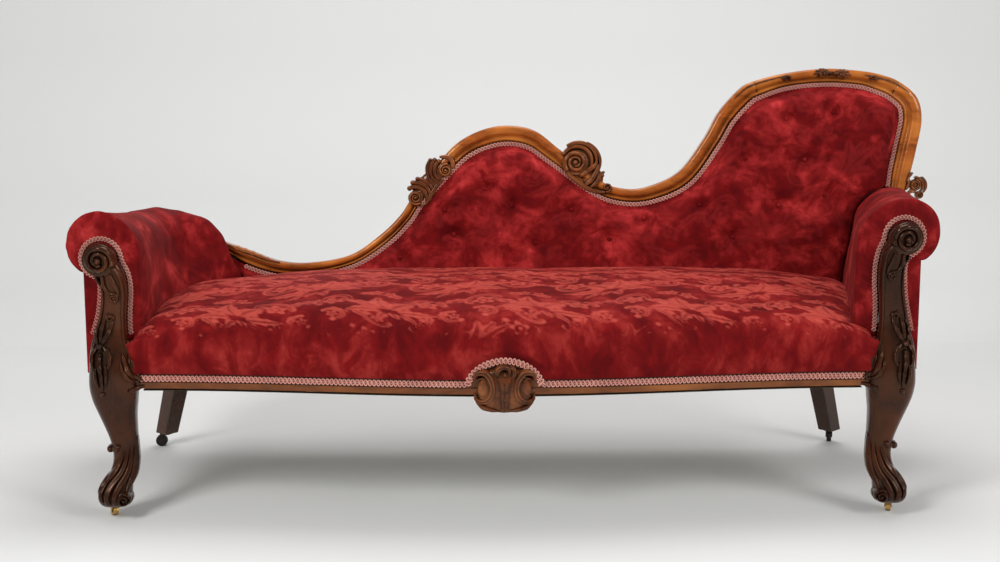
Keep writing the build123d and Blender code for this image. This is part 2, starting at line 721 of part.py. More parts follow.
with BuildPart() as arm_rail_left:
    end = STUMP_Y + ARM_RAIL_WIDE / 2
    with BuildSketch(side_view(FOOT_ARM[0][0] - ARM_RAIL_WIDE / 2)):
        with BuildLine():
            Polyline(
                (FACING_REAR, UNDER_FRONT), (end, UNDER_BACK), (end, UNDER_BACK - ARM_RAIL_HIGH),
                (FACING_REAR, UNDER_FRONT - ARM_RAIL_HIGH), close=True,
            )
        make_face()
    extrude(amount=ARM_RAIL_WIDE)
save(arm_rail_left, "arm_rail_left")

with BuildPart() as arm_stump_left:
    with BuildSketch(side_view(CENTRE_X - FRAME_HALF)):
        with BuildLine():
            fall = (UNDER_FRONT - UNDER_BACK) * ARM_RAIL_WIDE / (end - FACING_REAR)
            low = UNDER_BACK - ARM_RAIL_HIGH
            near = end - ARM_RAIL_WIDE
            Polyline((near, RAIL_TOP), (end, RAIL_TOP), (end, low), (near, low + fall), close=True)
        make_face()
    extrude(amount=END_RAIL_THICK)
save(arm_stump_left, "arm_stump_left")

with BuildPart() as arm_rail_right:
    for x, y, _, z, radius, *_ in HEAD_ARM:
        with BuildSketch(facing_forward(x - HEAD_ARM_RAIL_WIDE / 2 - 2, y, z - 0.9 * radius - 1)):
            Rectangle(HEAD_ARM_RAIL_WIDE, ARM_RAIL_HIGH, align=(Align.CENTER, Align.MAX))
    loft(ruled=True)
    split(bisect_by=BACK.offset(-UPRIGHT_FRONT), keep=Keep.TOP)
save(arm_rail_right, "arm_rail_right")


# --- Seat cover ---


def seat_section(across):
    """Section of the seat: an apron down the rail, a front roll and a crowned top."""
    rail = front_y(across)
    face, edge = rail - SEAT_PROUD, rail - SEAT_PROUD + SEAT_ROLL
    sunk = SEAT_EDGE_Z - RAIL_TOP
    with BuildLine() as section:
        Polyline(
            (SEAT_REAR_Y, SEAT_REAR_Z), (SEAT_REAR_Y, SEAT_FOOT), (rail + 6, SEAT_FOOT),
            (rail + 6, SEAT_APRON_Z), (rail - SEAT_PROUD / 2, SEAT_APRON_Z),
        )
        ThreePointArc(
            (rail - SEAT_PROUD / 2, SEAT_APRON_Z), (face + 1, SEAT_APRON_Z + 0.4 * sunk),
            (face, RAIL_TOP + 0.5 * sunk),
        )
        ThreePointArc(
            (face, RAIL_TOP + 0.5 * sunk), (face + 0.3 * SEAT_ROLL, SEAT_EDGE_Z - 0.14 * sunk),
            (edge, SEAT_EDGE_Z),
        )
        ThreePointArc(
            (edge, SEAT_EDGE_Z), ((edge + SEAT_REAR_Y) / 2, SEAT_CROWN_Z), (SEAT_REAR_Y, SEAT_REAR_Z)
        )
    return section.edges()


POCKET = facing_forward(CENTRE_X, front_y(0), CARTOUCHE_Z)
ARCH_OUT = SEAT_PROUD - GIMP_THICK - CARVE_PROUD

with BuildPart() as seat_form:
    for i in range(SEAT_STEPS + 1):
        across = SEAT_END * (2 * i / SEAT_STEPS - 1)
        with BuildSketch(side_view(CENTRE_X + across)):
            make_face(seat_section(across))
    loft(ruled=True)
    # Clear of the rail's face, the back and the arms
    with BuildSketch(Plane.XY.offset(RAIL_BOTTOM)):
        make_face(serpentine(-RAIL_END, RAIL_END, FIT, -FRONT_RAIL_DEEP))
    extrude(amount=SEAT_FOOT - RAIL_BOTTOM, mode=Mode.SUBTRACT)
    split(bisect_by=BACK.offset(BACK_PROUD + FIT + SOFT), keep=Keep.TOP)
    for neighbour in (foot_room, arm_cover_left, head_room):
        add(neighbour.part, mode=Mode.SUBTRACT)
    # Room for the carved cartouche and the braid that arches over it
    with BuildSketch(POCKET.offset(ARCH_OUT)):
        Ellipse(CARTOUCHE_WIDE / 2 + GIMP_WIDE + FIT, CARTOUCHE_HIGH / 2 + GIMP_WIDE + FIT)
    extrude(amount=2 * SEAT_PROUD, mode=Mode.SUBTRACT)
    with BuildSketch(POCKET):
        Ellipse(CARTOUCHE_WIDE / 2 + FIT, CARTOUCHE_HIGH / 2 + FIT)
    extrude(amount=2 * SEAT_PROUD, mode=Mode.SUBTRACT)

with BuildPart() as seat_cover:
    add(seat_form.solids().sort_by(SortBy.VOLUME)[-1])
save(seat_cover, "seat_cover")

with BuildPart() as rail_cartouche:
    with BuildSketch(POCKET):
        Ellipse(CARTOUCHE_WIDE / 2, CARTOUCHE_HIGH / 2)
    extrude(amount=CARTOUCHE_THICK)
    add(front_rail.part, mode=Mode.SUBTRACT)
    with BuildSketch(POCKET.offset(CARTOUCHE_THICK)):
        Ellipse(CARTOUCHE_WIDE / 5, CARTOUCHE_HIGH / 4)
    extrude(amount=CARVE_PROUD)
    with BuildSketch(POCKET.offset(CARTOUCHE_THICK)):
        for side in SIDES.values():
            with Locations((side * CARTOUCHE_WIDE / 3, CARTOUCHE_HIGH / 7)):
                Circle(CARTOUCHE_WIDE / 8)
    extrude(amount=CARVE_PROUD / 2)
save(rail_cartouche, "rail_cartouche")

with BuildPart() as seat_gimp:
    with BuildSketch(Plane.XY.offset(RAIL_BOTTOM + BEAD_HIGH + FIT)):
        make_face(serpentine(-SEAT_END, SEAT_END, GIMP_THICK + FIT, FIT))
    extrude(amount=GIMP_WIDE)
    with BuildSketch(POCKET):
        Ellipse(CARTOUCHE_WIDE / 2 + FIT, CARTOUCHE_HIGH / 2 + FIT)
    extrude(amount=2 * SEAT_PROUD, mode=Mode.SUBTRACT)
    with BuildSketch(POCKET.offset(ARCH_OUT + FIT)):
        Ellipse(CARTOUCHE_WIDE / 2 + GIMP_WIDE, CARTOUCHE_HIGH / 2 + GIMP_WIDE)
        Ellipse(CARTOUCHE_WIDE / 2 + FIT, CARTOUCHE_HIGH / 2 + FIT, mode=Mode.SUBTRACT)
        with Locations((0, SEAT_APRON_Z - CARTOUCHE_Z)):
            Rectangle(
                2 * CARTOUCHE_WIDE, CARTOUCHE_HIGH, align=(Align.CENTER, Align.MAX), mode=Mode.SUBTRACT
            )
    extrude(amount=GIMP_THICK)
save(seat_gimp, "seat_gimp")


# --- Back cover ---

BACK_SPANS = [
    (0, FOOT_END), (FOOT_END, ARCH_START), (ARCH_START, ARCH_END), (ARCH_END, SWEEP_START),
    (SWEEP_START, CREST_START), (CREST_START, POST_START), (POST_START, LAST),
]


def back_outline(share, extra, low, left, right):
    """Outline of a sheet inside the polished frame, closed along a straight foot."""
    with BuildLine() as outline:
        for span in BACK_SPANS:
            points = edge_points(*span, share, extra)
            if len(points) > 2:
                Spline(*points)
            else:
                Line(*points)
        first, last = edge_points(0, LAST, share, extra)[:: LAST]
        Polyline(last, (right, low), (left, low), first)
    return outline.edges()


COVER_FRONT = BACK_PROUD + FIT
FLANGE_FRONT = FIT - REBATE + BACK_FLANGE

with BuildPart() as back_cover:
    with BuildSketch(BACK.offset(FIT - REBATE)):
        make_face(back_outline(1, FIT, BACK_FOOT, BACK_LEFT, BACK_RIGHT))
    extrude(amount=BACK_FLANGE)
    for share, inset in BACK_FORM:
        with BuildSketch(BACK.offset(FLANGE_FRONT + share * (COVER_FRONT - FLANGE_FRONT))):
            extra = GIMP_WIDE + FIT + inset
            make_face(back_outline(1, extra, BACK_FOOT, BACK_LEFT + inset, BACK_RIGHT - inset))
    loft(ruled=True)
    # The foot arm lies over the rest of the flange, the head arm over the other end
    with BuildSketch(BACK):
        with Locations((FOOT_ARM[-1][0] + SOFT, RAIL_TOP)):
            Rectangle(RAIL_TOP, RAIL_TOP, align=(Align.MAX, Align.CENTER))
    extrude(amount=4 * BACK_PROUD, mode=Mode.SUBTRACT)
    add(head_room.part, mode=Mode.SUBTRACT)
    # Pits where the buttons draw the cover in
    for x, s in TUFTS:
        for out, radius in [(COVER_FRONT + FIT, TUFT_RADIUS), (COVER_FRONT - TUFT_DEEP, BUTTON_RADIUS + FIT)]:
            with BuildSketch(on_back(x, s, out)):
                RegularPolygon(radius, BUTTON_SIDES)
        loft(ruled=True, mode=Mode.SUBTRACT)
    add(arm_cover_left.part, mode=Mode.SUBTRACT)
save(back_cover, "back_cover")

with BuildPart() as back_buttons:
    for x, s in TUFTS:
        with BuildSketch(on_back(x, s, COVER_FRONT - TUFT_DEEP + FIT)):
            RegularPolygon(BUTTON_RADIUS, BUTTON_SIDES)
        extrude(amount=BUTTON_THICK)
save(back_buttons, "back_buttons")

with BuildPart() as back_gimp:
    with BuildSketch(BACK.offset(FLANGE_FRONT + FIT)):
        make_face(back_outline(1, FIT, BACK_FOOT, BACK_LEFT, BACK_RIGHT))
        make_face(
            back_outline(1, GIMP_WIDE, BACK_FOOT - 60, BACK_LEFT - 60, BACK_RIGHT + 60), mode=Mode.SUBTRACT
        )
    extrude(amount=GIMP_THICK)
    split(bisect_by=Plane.YZ.offset(FOOT_ARM[-1][0] + SOFT), keep=Keep.TOP)
    for neighbour in (head_room, scroll_pair, centre_scroll):
        add(neighbour.part, mode=Mode.SUBTRACT)
save(back_gimp, "back_gimp")

with BuildPart() as back_webbing:
    for s, start, end in BACK_WEBS:
        with BuildSketch(on_back(start, s, -UPRIGHT_FRONT)):
            Rectangle(end - start, WEB_WIDE, align=(Align.MIN, Align.CENTER))
        extrude(amount=WEB_THICK)
save(back_webbing, "back_webbing")

with BuildPart() as outside_back:
    with BuildSketch(BACK.offset(-BACK_THICK - FIT)):
        make_face(back_outline(0.5, 0, OUTSIDE_FOOT, ARM_END_X + 6, CENTRE_X + FRAME_HALF))
    extrude(amount=-OUTSIDE_THICK)
save(outside_back, "outside_back")


# --- Outsides and braid of the arms ---


def rear_y(z, out):
    """Where the back's plane, moved forward by out, stands at a height."""
    return BACK_FOOT_Y + (z * math.sin(math.radians(BACK_LEAN)) - out) / BACK_COS


def trim_outside(side, room):
    """Cut an outside cover back to the facing, and clear of its leg and of the arm's roll."""
    split(bisect_by=Plane.XZ.offset(-FACING_REAR - FIT), keep=Keep.BOTTOM)
    split(bisect_by=BACK.offset(-BACK_THICK - FIT - PANEL_THICK), keep=Keep.TOP)
    add(room.part, mode=Mode.SUBTRACT)
    with BuildSketch(Plane.XY.offset(RAIL_BOTTOM)) as notch:
        with Locations((CENTRE_X + side * FRAME_HALF, FRONT_Y)):
            Rectangle(8 * PANEL_THICK, 2 * (LEG_BACK + FIT))
    extrude(notch.sketch, amount=RAIL_TOP + FIT - RAIL_BOTTOM, mode=Mode.SUBTRACT)
    add(back_rail.part, mode=Mode.SUBTRACT)


# (height, radius of the corner)
OUTSIDE_FORM = [(RAIL_BOTTOM + 1, 14), (RAIL_TOP + 4, 14), (UNDER_BACK, 130), (UNDER_FRONT + 2, 130)]

with BuildPart() as outside_arm_left:
    # A block that follows the frame's corner, hollowed by the same block 6 mm smaller
    for inset, mode in [(0, Mode.ADD), (PANEL_THICK, Mode.SUBTRACT)]:
        for z, corner in OUTSIDE_FORM:
            edge_x = CENTRE_X - FRAME_HALF - FIT - PANEL_THICK + inset
            edge_y = rear_y(z, -BACK_THICK - FIT - PANEL_THICK) - inset
            with BuildSketch(Plane.XY.offset(z)):
                with Locations((edge_x, edge_y)):
                    RectangleRounded(FRAME_HALF, FRAME_HALF, corner - inset, align=(Align.MIN, Align.MAX))
        loft(ruled=True, mode=mode)
    split(bisect_by=Plane.YZ.offset(ARM_END_X - 4), keep=Keep.BOTTOM)
    trim_outside(-1, foot_room)
save(outside_arm_left, "outside_arm_left")

with BuildPart() as outside_arm_right:
    low_x, top_x = CENTRE_X + FRAME_HALF + FIT, HEAD_ARM[1][0] + 36
    low_z, top_z = RAIL_BOTTOM + 1, HEAD_ARM[1][3]
    for y, lean in [(FACING_REAR - FIT, 0), (HEAD_ARM[1][1] + BACK_THICK, 1)]:
        with BuildSketch(facing_forward(0, y, 0)):
            with BuildLine():
                slant = lean * (top_x - low_x)
                Polyline(
                    (low_x, low_z), (low_x + PANEL_THICK, low_z),
                    (low_x + PANEL_THICK + slant, top_z), (low_x + slant, top_z), close=True,
                )
            make_face()
    loft(ruled=True)
    trim_outside(1, head_room)
    split(bisect_by=BACK.offset(-BACK_THICK), keep=Keep.TOP)
save(outside_arm_right, "outside_arm_right")


def arm_gimp(name, path, leg):
    """Braid on the front of an arm cover, round the facing and its volute."""
    side = SIDES[name]
    x, _, _, z, radius, shoulder, foot, outer = path[0]
    volute_z = VOLUTE_Z[name]
    front = Plane(origin=(x, FACING_REAR, 0), x_dir=(side, 0, 0), z_dir=(0, -side, 0))
    middle = side * CENTRE_X - side * x
    sides = [
        [(middle + form[column], RAIL_TOP + form[0] * (volute_z - RAIL_TOP)) for form in FACING_FORM[1:]]
        for column in (1, 2)
    ]
    with BuildPart() as braid:
        with BuildSketch(front):
            with BuildLine():
                Polyline(*sides[0], *reversed(sides[1]), close=True)
            make_face()
            with Locations((middle + VOLUTE_AT, volute_z)):
                Circle(VOLUTE_RADIUS)
            offset(amount=ARM_GIMP_WIDE)
            make_face(roll_profile(z, radius, shoulder, foot, outer, 0), mode=Mode.INTERSECT)
        extrude(amount=side * GIMP_THICK)
        add(leg.part, mode=Mode.SUBTRACT)
    save(braid, f"arm_gimp_{name}")


for name, path in (("left", FOOT_ARM), ("right", HEAD_ARM)):
    arm_gimp(name, path, legs[name])
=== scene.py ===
import math

import bmesh
import bpy
import numpy as np
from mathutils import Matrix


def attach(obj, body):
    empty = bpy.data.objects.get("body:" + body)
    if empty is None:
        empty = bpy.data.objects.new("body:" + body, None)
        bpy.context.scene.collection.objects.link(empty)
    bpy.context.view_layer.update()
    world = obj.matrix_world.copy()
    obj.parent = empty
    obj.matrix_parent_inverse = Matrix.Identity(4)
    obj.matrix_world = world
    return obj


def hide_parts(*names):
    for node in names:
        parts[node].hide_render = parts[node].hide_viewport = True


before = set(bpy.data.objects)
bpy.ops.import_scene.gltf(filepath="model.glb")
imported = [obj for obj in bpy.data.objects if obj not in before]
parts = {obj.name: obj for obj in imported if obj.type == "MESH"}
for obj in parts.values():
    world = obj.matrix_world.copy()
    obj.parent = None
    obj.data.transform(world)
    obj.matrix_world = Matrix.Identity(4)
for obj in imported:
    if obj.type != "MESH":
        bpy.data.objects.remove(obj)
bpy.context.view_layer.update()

# --- The room ---
# A plain pale floor that runs up into a pale wall, with soft light from large lamps: one high on
# the left in front, one on the right, and one above. The camera stands where the photographer
# stood, a little left of the middle and at chest height.

CAMERA_AT = (-0.124, -4.056, 1.235)
CAMERA_DOWN = 10.75
CAMERA_RIGHT = 1.04
LENS_MM = 65.7
PALE = (0.80, 0.80, 0.79, 1)

scene = bpy.context.scene
scene.view_settings.view_transform = "Standard"

camera = bpy.data.objects.new("camera", bpy.data.cameras.new("camera"))
camera.data.lens = LENS_MM
camera.data.sensor_width = 36
camera.location = CAMERA_AT
camera.rotation_euler = (math.radians(90 - CAMERA_DOWN), 0, math.radians(-CAMERA_RIGHT))
scene.collection.objects.link(camera)
scene.camera = camera

world = bpy.data.worlds.new("room")
world.use_nodes = True
world.node_tree.nodes["Background"].inputs["Color"].default_value = (0.86, 0.87, 0.88, 1)
world.node_tree.nodes["Background"].inputs["Strength"].default_value = 0.36
scene.world = world


def lamp(name, place, aim, size, watts):
    """A square soft lamp at place that faces aim."""
    light = bpy.data.lights.new(name, "AREA")
    light.size, light.energy = size, watts
    holder = bpy.data.objects.new(name, light)
    holder.location = place
    away = np.subtract(place, aim)
    flat = math.hypot(away[0], away[1])
    holder.rotation_euler = (math.atan2(flat, away[2]), 0, math.atan2(away[0], -away[1]))
    scene.collection.objects.link(holder)


lamp("key_lamp", (-2.4, -3.0, 2.9), (0, 0, 0.5), 1.3, 95)
lamp("fill_lamp", (2.8, -2.6, 2.2), (0, 0, 0.5), 1.5, 60)
lamp("top_lamp", (0.3, 0.6, 3.4), (0, 0, 0.5), 2.0, 55)
lamp("back_lamp", (0.5, 3.6, 2.4), (0, 0.2, 0.5), 2.4, 45)


def put_mesh(name, points, faces, smooth=True):
    """A piece from an array of points in millimetres and an array of four-sided faces."""
    mesh = bpy.data.meshes.new(name)
    mesh.vertices.add(len(points))
    mesh.vertices.foreach_set("co", (np.asarray(points, float) / 1000).ravel())
    mesh.loops.add(faces.size)
    mesh.loops.foreach_set("vertex_index", faces.ravel().astype(np.int32))
    mesh.polygons.add(len(faces))
    mesh.polygons.foreach_set("loop_start", np.arange(0, faces.size, 4, dtype=np.int32))
    mesh.polygons.foreach_set("use_smooth", np.full(len(faces), smooth))
    mesh.update(calc_edges=True)
    mesh.validate()
    piece = bpy.data.objects.new(name, mesh)
    scene.collection.objects.link(piece)
    return piece


def grid_faces(rows, columns, wrap=False):
    """Faces of a grid of rows by columns; wrap joins the last column to the first."""
    last = columns if wrap else columns - 1
    r, c = np.meshgrid(np.arange(rows - 1), np.arange(last), indexing="ij")
    after = (c + 1) % columns
    at = r * columns
    below = at + columns
    return np.stack([at + c, at + after, below + after, below + c], -1).reshape(-1, 4)


ROOM_REACH = 20000.0


def sweep(name, line):
    """A wide sheet of the room: a line of (depth, height) carried across from side to side."""
    across, row = np.meshgrid([-ROOM_REACH, ROOM_REACH], np.arange(len(line)), indexing="xy")
    points = np.stack([across, line[row, 0], line[row, 1]], -1).reshape(-1, 3)
    made = put_mesh(name, points, grid_faces(len(line), 2))
    if made.data.polygons[0].normal.z < 0:
        made.data.flip_normals()
    return made


WALL_LINE = np.array([[1400, 2], [2000, 60], [2500, 300], [2800, 800], [2900, 1500], [2900, 9000]])
floor = sweep("floor", np.array([[-ROOM_REACH, 0], [ROOM_REACH, 0]]))
wall = sweep("wall", WALL_LINE)


def material(name, roughness, **plain):
    """A material and its node tree and shader; plain holds shader inputs that are the same all over."""
    made = bpy.data.materials.new(name)
    made.use_nodes = True
    shader = made.node_tree.nodes["Principled BSDF"]
    shader.inputs["Roughness"].default_value = roughness
    for key, value in plain.items():
        shader.inputs[key.replace("_", " ")].default_value = value
    return made, made.node_tree, shader


# The wall is clear from behind, so that a camera there looks through it.
floor_paint, tree, shader = material("floor_paint", 0.9)
shader.inputs["Base Color"].default_value = PALE
from_behind = tree.nodes.new("ShaderNodeMixShader")
tree.links.new(tree.nodes.new("ShaderNodeNewGeometry").outputs["Backfacing"], from_behind.inputs[0])
tree.links.new(shader.outputs[0], from_behind.inputs[1])
tree.links.new(tree.nodes.new("ShaderNodeBsdfTransparent").outputs[0], from_behind.inputs[2])
tree.links.new(from_behind.outputs[0], tree.nodes["Material Output"].inputs["Surface"])
for sheet in (floor, wall):
    sheet.data.materials.append(floor_paint)


# --- Polished wood ---
# Walnut and mahogany under old French polish: brown streaks along the grain, near black in the
# carving, where wax and dust sit and where shade is painted in by how enclosed each spot is, and a
# soft shine. The back rails have faded to golden brown, the legs are darker and redder.


def new_group(name, sockets_in, sockets_out):
    """An empty shader node group with its sockets: (name, kind, value) in, (name, kind) out."""
    group = bpy.data.node_groups.new(name, "ShaderNodeTree")
    for label, kind, value in sockets_in:
        socket = group.interface.new_socket(label, in_out="INPUT", socket_type="NodeSocket" + kind)
        socket.default_value = value
    for label, kind in sockets_out:
        group.interface.new_socket(label, in_out="OUTPUT", socket_type="NodeSocket" + kind)
    return group, group.nodes.new("NodeGroupInput"), group.nodes.new("NodeGroupOutput")


def node(tree, kind, inputs=None, **settings):
    """A node with its settings, its inputs linked where a socket is given and set where a value is."""
    made = tree.nodes.new("ShaderNode" + kind)
    for key, value in settings.items():
        setattr(made, key, value)
    for key, value in (inputs or {}).items():
        if isinstance(value, bpy.types.NodeSocket):
            tree.links.new(value, made.inputs[key])
        else:
            made.inputs[key].default_value = value
    return made


def blend_colour(tree, share, low, high):
    """The colour between low and high at a share from 0 to 1."""
    mix = node(tree, "Mix", {0: share, 6: low, 7: high}, data_type="RGBA")
    return mix.outputs[2]


def spread(tree, value, low, high, to_low=0.0, to_high=1.0):
    """A value's range from low to high, stretched to another range and held there."""
    return node(tree, "MapRange", {0: value, 1: low, 2: high, 3: to_low, 4: to_high}).outputs[0]


def product(tree, first, second):
    """Two values multiplied."""
    return node(tree, "Math", {0: first, 1: second}, operation="MULTIPLY").outputs[0]


def total(tree, first, second):
    """Two values added."""
    return node(tree, "Math", {0: first, 1: second}, operation="ADD").outputs[0]


def where_on(tree):
    """The place on the piece that a pattern reads."""
    return node(tree, "TexCoord").outputs["Object"]


def cloudy(tree, place, scale, detail, **more):
    """A value that drifts over a piece in clouds, smaller as the scale grows."""
    inputs = {"Vector": place, "Scale": scale, "Detail": detail, **more}
    return node(tree, "TexNoise", inputs).outputs[0]


def openness(tree, reach, samples=4):
    """One in the open and less in the hollows and corners within reach, in metres."""
    return node(tree, "AmbientOcclusion", {"Distance": reach}, samples=samples).outputs["AO"]


def dress(tree, shader, colour, roughness=None, height=None, strength=0.0, deep=0.0):
    """Links a shader's colour and, where they are given, its roughness and a height as a bump that is
    so many metres deep."""
    tree.links.new(colour, shader.inputs["Base Color"])
    if roughness is not None:
        tree.links.new(roughness, shader.inputs["Roughness"])
    if height is not None:
        bump = node(tree, "Bump", {"Height": height, "Strength": strength, "Distance": deep})
        tree.links.new(bump.outputs[0], shader.inputs["Normal"])


BLACK = (0, 0, 0, 1)
# The near black of old wax and dust in the carving, which also serves as painted shade in its hollows.
OLD_WAX_AND_PAINTED_SHADE = (0.007, 0.0025, 0.0015, 1)
wood_grain, g_in, g_out = new_group(
    "wood_grain",
    [("Dark", "Color", BLACK), ("Middle", "Color", BLACK), ("Light", "Color", BLACK),
     ("Stretch", "Vector", (1, 1, 1)), ("Crevice", "Float", 0.01)],
    [("Color", "Color"), ("Roughness", "Float"), ("Height", "Float")],
)
place = where_on(wood_grain)
turned = node(wood_grain, "Mapping", {"Vector": place, "Scale": g_in.outputs["Stretch"]}).outputs[0]
streak = cloudy(wood_grain, turned, 34, 9, Roughness=0.62, Distortion=1.1)
waves = cloudy(wood_grain, turned, 7, 3, Distortion=2.0)
patches = cloudy(wood_grain, place, 5.5, 3)
pores = cloudy(wood_grain, turned, 160, 2)
worn = cloudy(wood_grain, place, 60, 4)
hollow = openness(wood_grain, g_in.outputs["Crevice"], samples=6)
share = spread(wood_grain, streak, 0.32, 0.66)
colour = blend_colour(wood_grain, share, g_in.outputs["Dark"], g_in.outputs["Middle"])
share = product(wood_grain, spread(wood_grain, waves, 0.4, 0.7), spread(wood_grain, patches, 0.35, 0.7))
colour = blend_colour(wood_grain, share, colour, g_in.outputs["Light"])
# Near black where a spot is enclosed: wax and dust in the carving, and painted shade in its hollows.
share = spread(wood_grain, hollow, 0.30, 0.88, 0.94, 0.0)
wood_grain.links.new(blend_colour(wood_grain, share, colour, OLD_WAX_AND_PAINTED_SHADE), g_out.inputs["Color"])
polished = spread(wood_grain, worn, 0.3, 0.75, 0.14, 0.30)
rough = total(wood_grain, polished, spread(wood_grain, hollow, 0.4, 0.9, 0.3, 0.0))
wood_grain.links.new(rough, g_out.inputs["Roughness"])
wood_grain.links.new(spread(wood_grain, pores, 0.2, 0.5), g_out.inputs["Height"])


def wood(name, dark, middle, light, stretch, crevice, polish):
    """Wood with its grain along the small part of stretch, and a coat of polish."""
    made, tree, shader = material(
        name, 0.35, Specular_IOR_Level=0.34, Specular_Tint=(1.0, 0.60, 0.38, 1),
        Coat_Weight=polish, Coat_Roughness=0.06,
    )
    tones = {"Dark": (*dark, 1), "Middle": (*middle, 1), "Light": (*light, 1)}
    inputs = {**tones, "Stretch": stretch, "Crevice": crevice}
    grain = node(tree, "Group", inputs, node_tree=wood_grain).outputs
    dress(tree, shader, grain["Color"], grain["Roughness"], grain["Height"], 0.12, 0.0006)
    return made


RAIL_WOOD = wood(
    "rail_polish", (0.15, 0.033, 0.005), (0.44, 0.112, 0.016), (0.74, 0.26, 0.045), (0.35, 1, 1), 0.005, 0.25,
)
LEG_WOOD = wood(
    "leg_polish", (0.006, 0.0015, 0.0008), (0.027, 0.0056, 0.0022), (0.105, 0.026, 0.0072),
    (1, 1, 0.25), 0.012, 0.15,
)
CARVED_WOOD = wood(
    "carved_polish", (0.044, 0.0105, 0.0036), (0.165, 0.0420, 0.0120), (0.46, 0.155, 0.046),
    (1, 1, 1), 0.007, 0.25,
)
FOOT_RAIL_WOOD = wood(
    "seat_rail_polish", (0.060, 0.016, 0.005), (0.17, 0.046, 0.012), (0.36, 0.12, 0.032),
    (0.3, 1, 1), 0.004, 0.25,
)
BEECH = wood(
    "stained_beech", (0.10, 0.050, 0.022), (0.17, 0.092, 0.042), (0.24, 0.14, 0.070),
    (0.4, 1, 0.4), 0.01, 0.0,
)


def finish_nodes(paint, *names):
    """Gives CAD pieces that keep their own shape a material."""
    for name in names:
        parts[name].data.materials.clear()
        parts[name].data.materials.append(paint)


finish_nodes(FOOT_RAIL_WOOD, "front_rail")
finish_nodes(
    BEECH, "back_rail", "end_rail_left", "end_rail_right", "corner_blocks", "back_uprights",
    "arm_rail_left", "arm_rail_right", "arm_stump_left",
)
finish_nodes(LEG_WOOD, "back_leg_left", "back_leg_right")


# --- Polished back frame ---
# Five shaped rails, dowelled end to end and moulded along the front: a broad rounded bead
# outside, a dark hollow, and a thin bead beside the braid. They lean back with the back.

BACK_FOOT_Y = 215
BACK_LEAN = math.radians(6.84)
BACK_THICK = 34
BACK_EDGE = np.array([
    (-720, 518, 16), (-646, 492, 32), (-574, 467, 30), (-500, 463, 27),
    (-406, 481, 22), (-334, 529, 24), (-285, 577, 24), (-256, 620, 24),
    (-190, 706, 33), (-141, 754, 36), (-81, 783, 38), (-21, 791, 38),
    (40, 778, 38), (97, 735, 34), (195, 660, 30), (255, 639, 30),
    (315, 645, 32), (388, 681, 34), (447, 760, 34), (483, 824, 36),
    (531, 877, 37), (565, 896, 36), (640, 915, 31), (735, 926, 33),
    (819, 921, 33), (870, 912, 38), (916, 895, 42), (960, 857, 45),
    (972, 802, 47), (959, 728, 48), (945, 670, 46), (934, 630, 40),
], float)
BACK_RAILS = {
    "foot_rail": (0, 7.5), "arch_rail": (7.5, 13.5), "head_sweep_rail": (13.5, 21),
    "crest_rail": (21, 26), "head_post": (26, 31),
}


def through(table, steps):
    """A smooth curve through the rows of a table at row numbers steps: each stretch is a cubic whose
    ends slope as the line between their two neighbours."""
    table, steps = np.asarray(table, float), np.asarray(steps, float)
    row = np.clip(steps.astype(int), 0, len(table) - 2)
    part = (steps - row)[:, None]
    padded = np.vstack([2 * table[0] - table[1], table, 2 * table[-1] - table[-2]])
    a, b, c, d = (padded[row + i] for i in range(4))
    square, cube = 2 * a - 5 * b + 4 * c - d, 3 * b - a - 3 * c + d
    return 0.5 * (2 * b + (c - a) * part + square * part**2 + cube * part**3)


def evenly(curve, pitch):
    """A curve's points again, an even pitch apart along it, and their distances from its start."""
    run = np.concatenate([[0], np.cumsum(np.linalg.norm(np.diff(curve, axis=0), axis=1))])
    spots = np.linspace(0, run[-1], max(int(run[-1] / pitch), 2) + 1)
    return np.stack([np.interp(spots, run, column) for column in curve.T], -1), spots


def on_back(x, s, out):
    """Points of the leaning back: x, height s along its plane, and out before it."""
    y = BACK_FOOT_Y + s * math.sin(BACK_LEAN) - out * math.cos(BACK_LEAN)
    z = s * math.cos(BACK_LEAN) + out * math.sin(BACK_LEAN)
    return np.stack(np.broadcast_arrays(x, y, z), -1)


def sideways(line):
    """The unit directions to the right of a flat line at its points."""
    slope = np.gradient(line, axis=0)
    slope /= np.linalg.norm(slope, axis=1, keepdims=True) + 1e-9
    return np.stack([slope[:, 1], -slope[:, 0]], -1)


def edge_line(first, last, pitch):
    """The back's outer edge between two of its stations: x, s, width, and the inward direction."""
    line = through(BACK_EDGE, np.linspace(first, last, int(40 * (last - first)) + 1))
    line = evenly(line, pitch)[0]
    return line, sideways(line[:, :2])


BEAD_SHARE, HOLLOW_SHARE, THIN_SHARE = 0.60, 0.12, 0.26


def rail_section():
    """The rail's section as (share of its width, height before the plane), once round: a half
    ellipse for the bead, a dip for the hollow, half a sine wave for the thin bead."""
    bead = np.linspace(0, 1, 15)
    hollow = np.linspace(0, 1, 6)[1:]
    thin = np.linspace(0, 1, 9)[1:]
    share = np.concatenate([
        [0, 0], BEAD_SHARE * bead, BEAD_SHARE + HOLLOW_SHARE * hollow,
        BEAD_SHARE + HOLLOW_SHARE + THIN_SHARE * thin, [1, 1],
    ])
    round_bead = np.sqrt(np.clip(1 - (2 * bead - 1) ** 2, 0, 1)) ** 0.8
    height = np.concatenate([
        [-BACK_THICK, -16], -9 + 9.5 * round_bead, -9 - 2.2 * np.sin(math.pi * hollow / 2),
        -11.2 + 6.5 * np.sin(math.pi * thin) ** 0.8, [-12, -BACK_THICK],
    ])
    return share, height


def outward(piece):
    """Turns a closed piece's faces outwards after merging its doubles."""
    work = bmesh.new()
    work.from_mesh(piece.data)
    bmesh.ops.remove_doubles(work, verts=work.verts, dist=1e-6)
    bmesh.ops.dissolve_degenerate(work, edges=work.edges, dist=1e-7)
    bmesh.ops.recalc_face_normals(work, faces=work.faces)
    work.to_mesh(piece.data)
    work.free()
    return piece


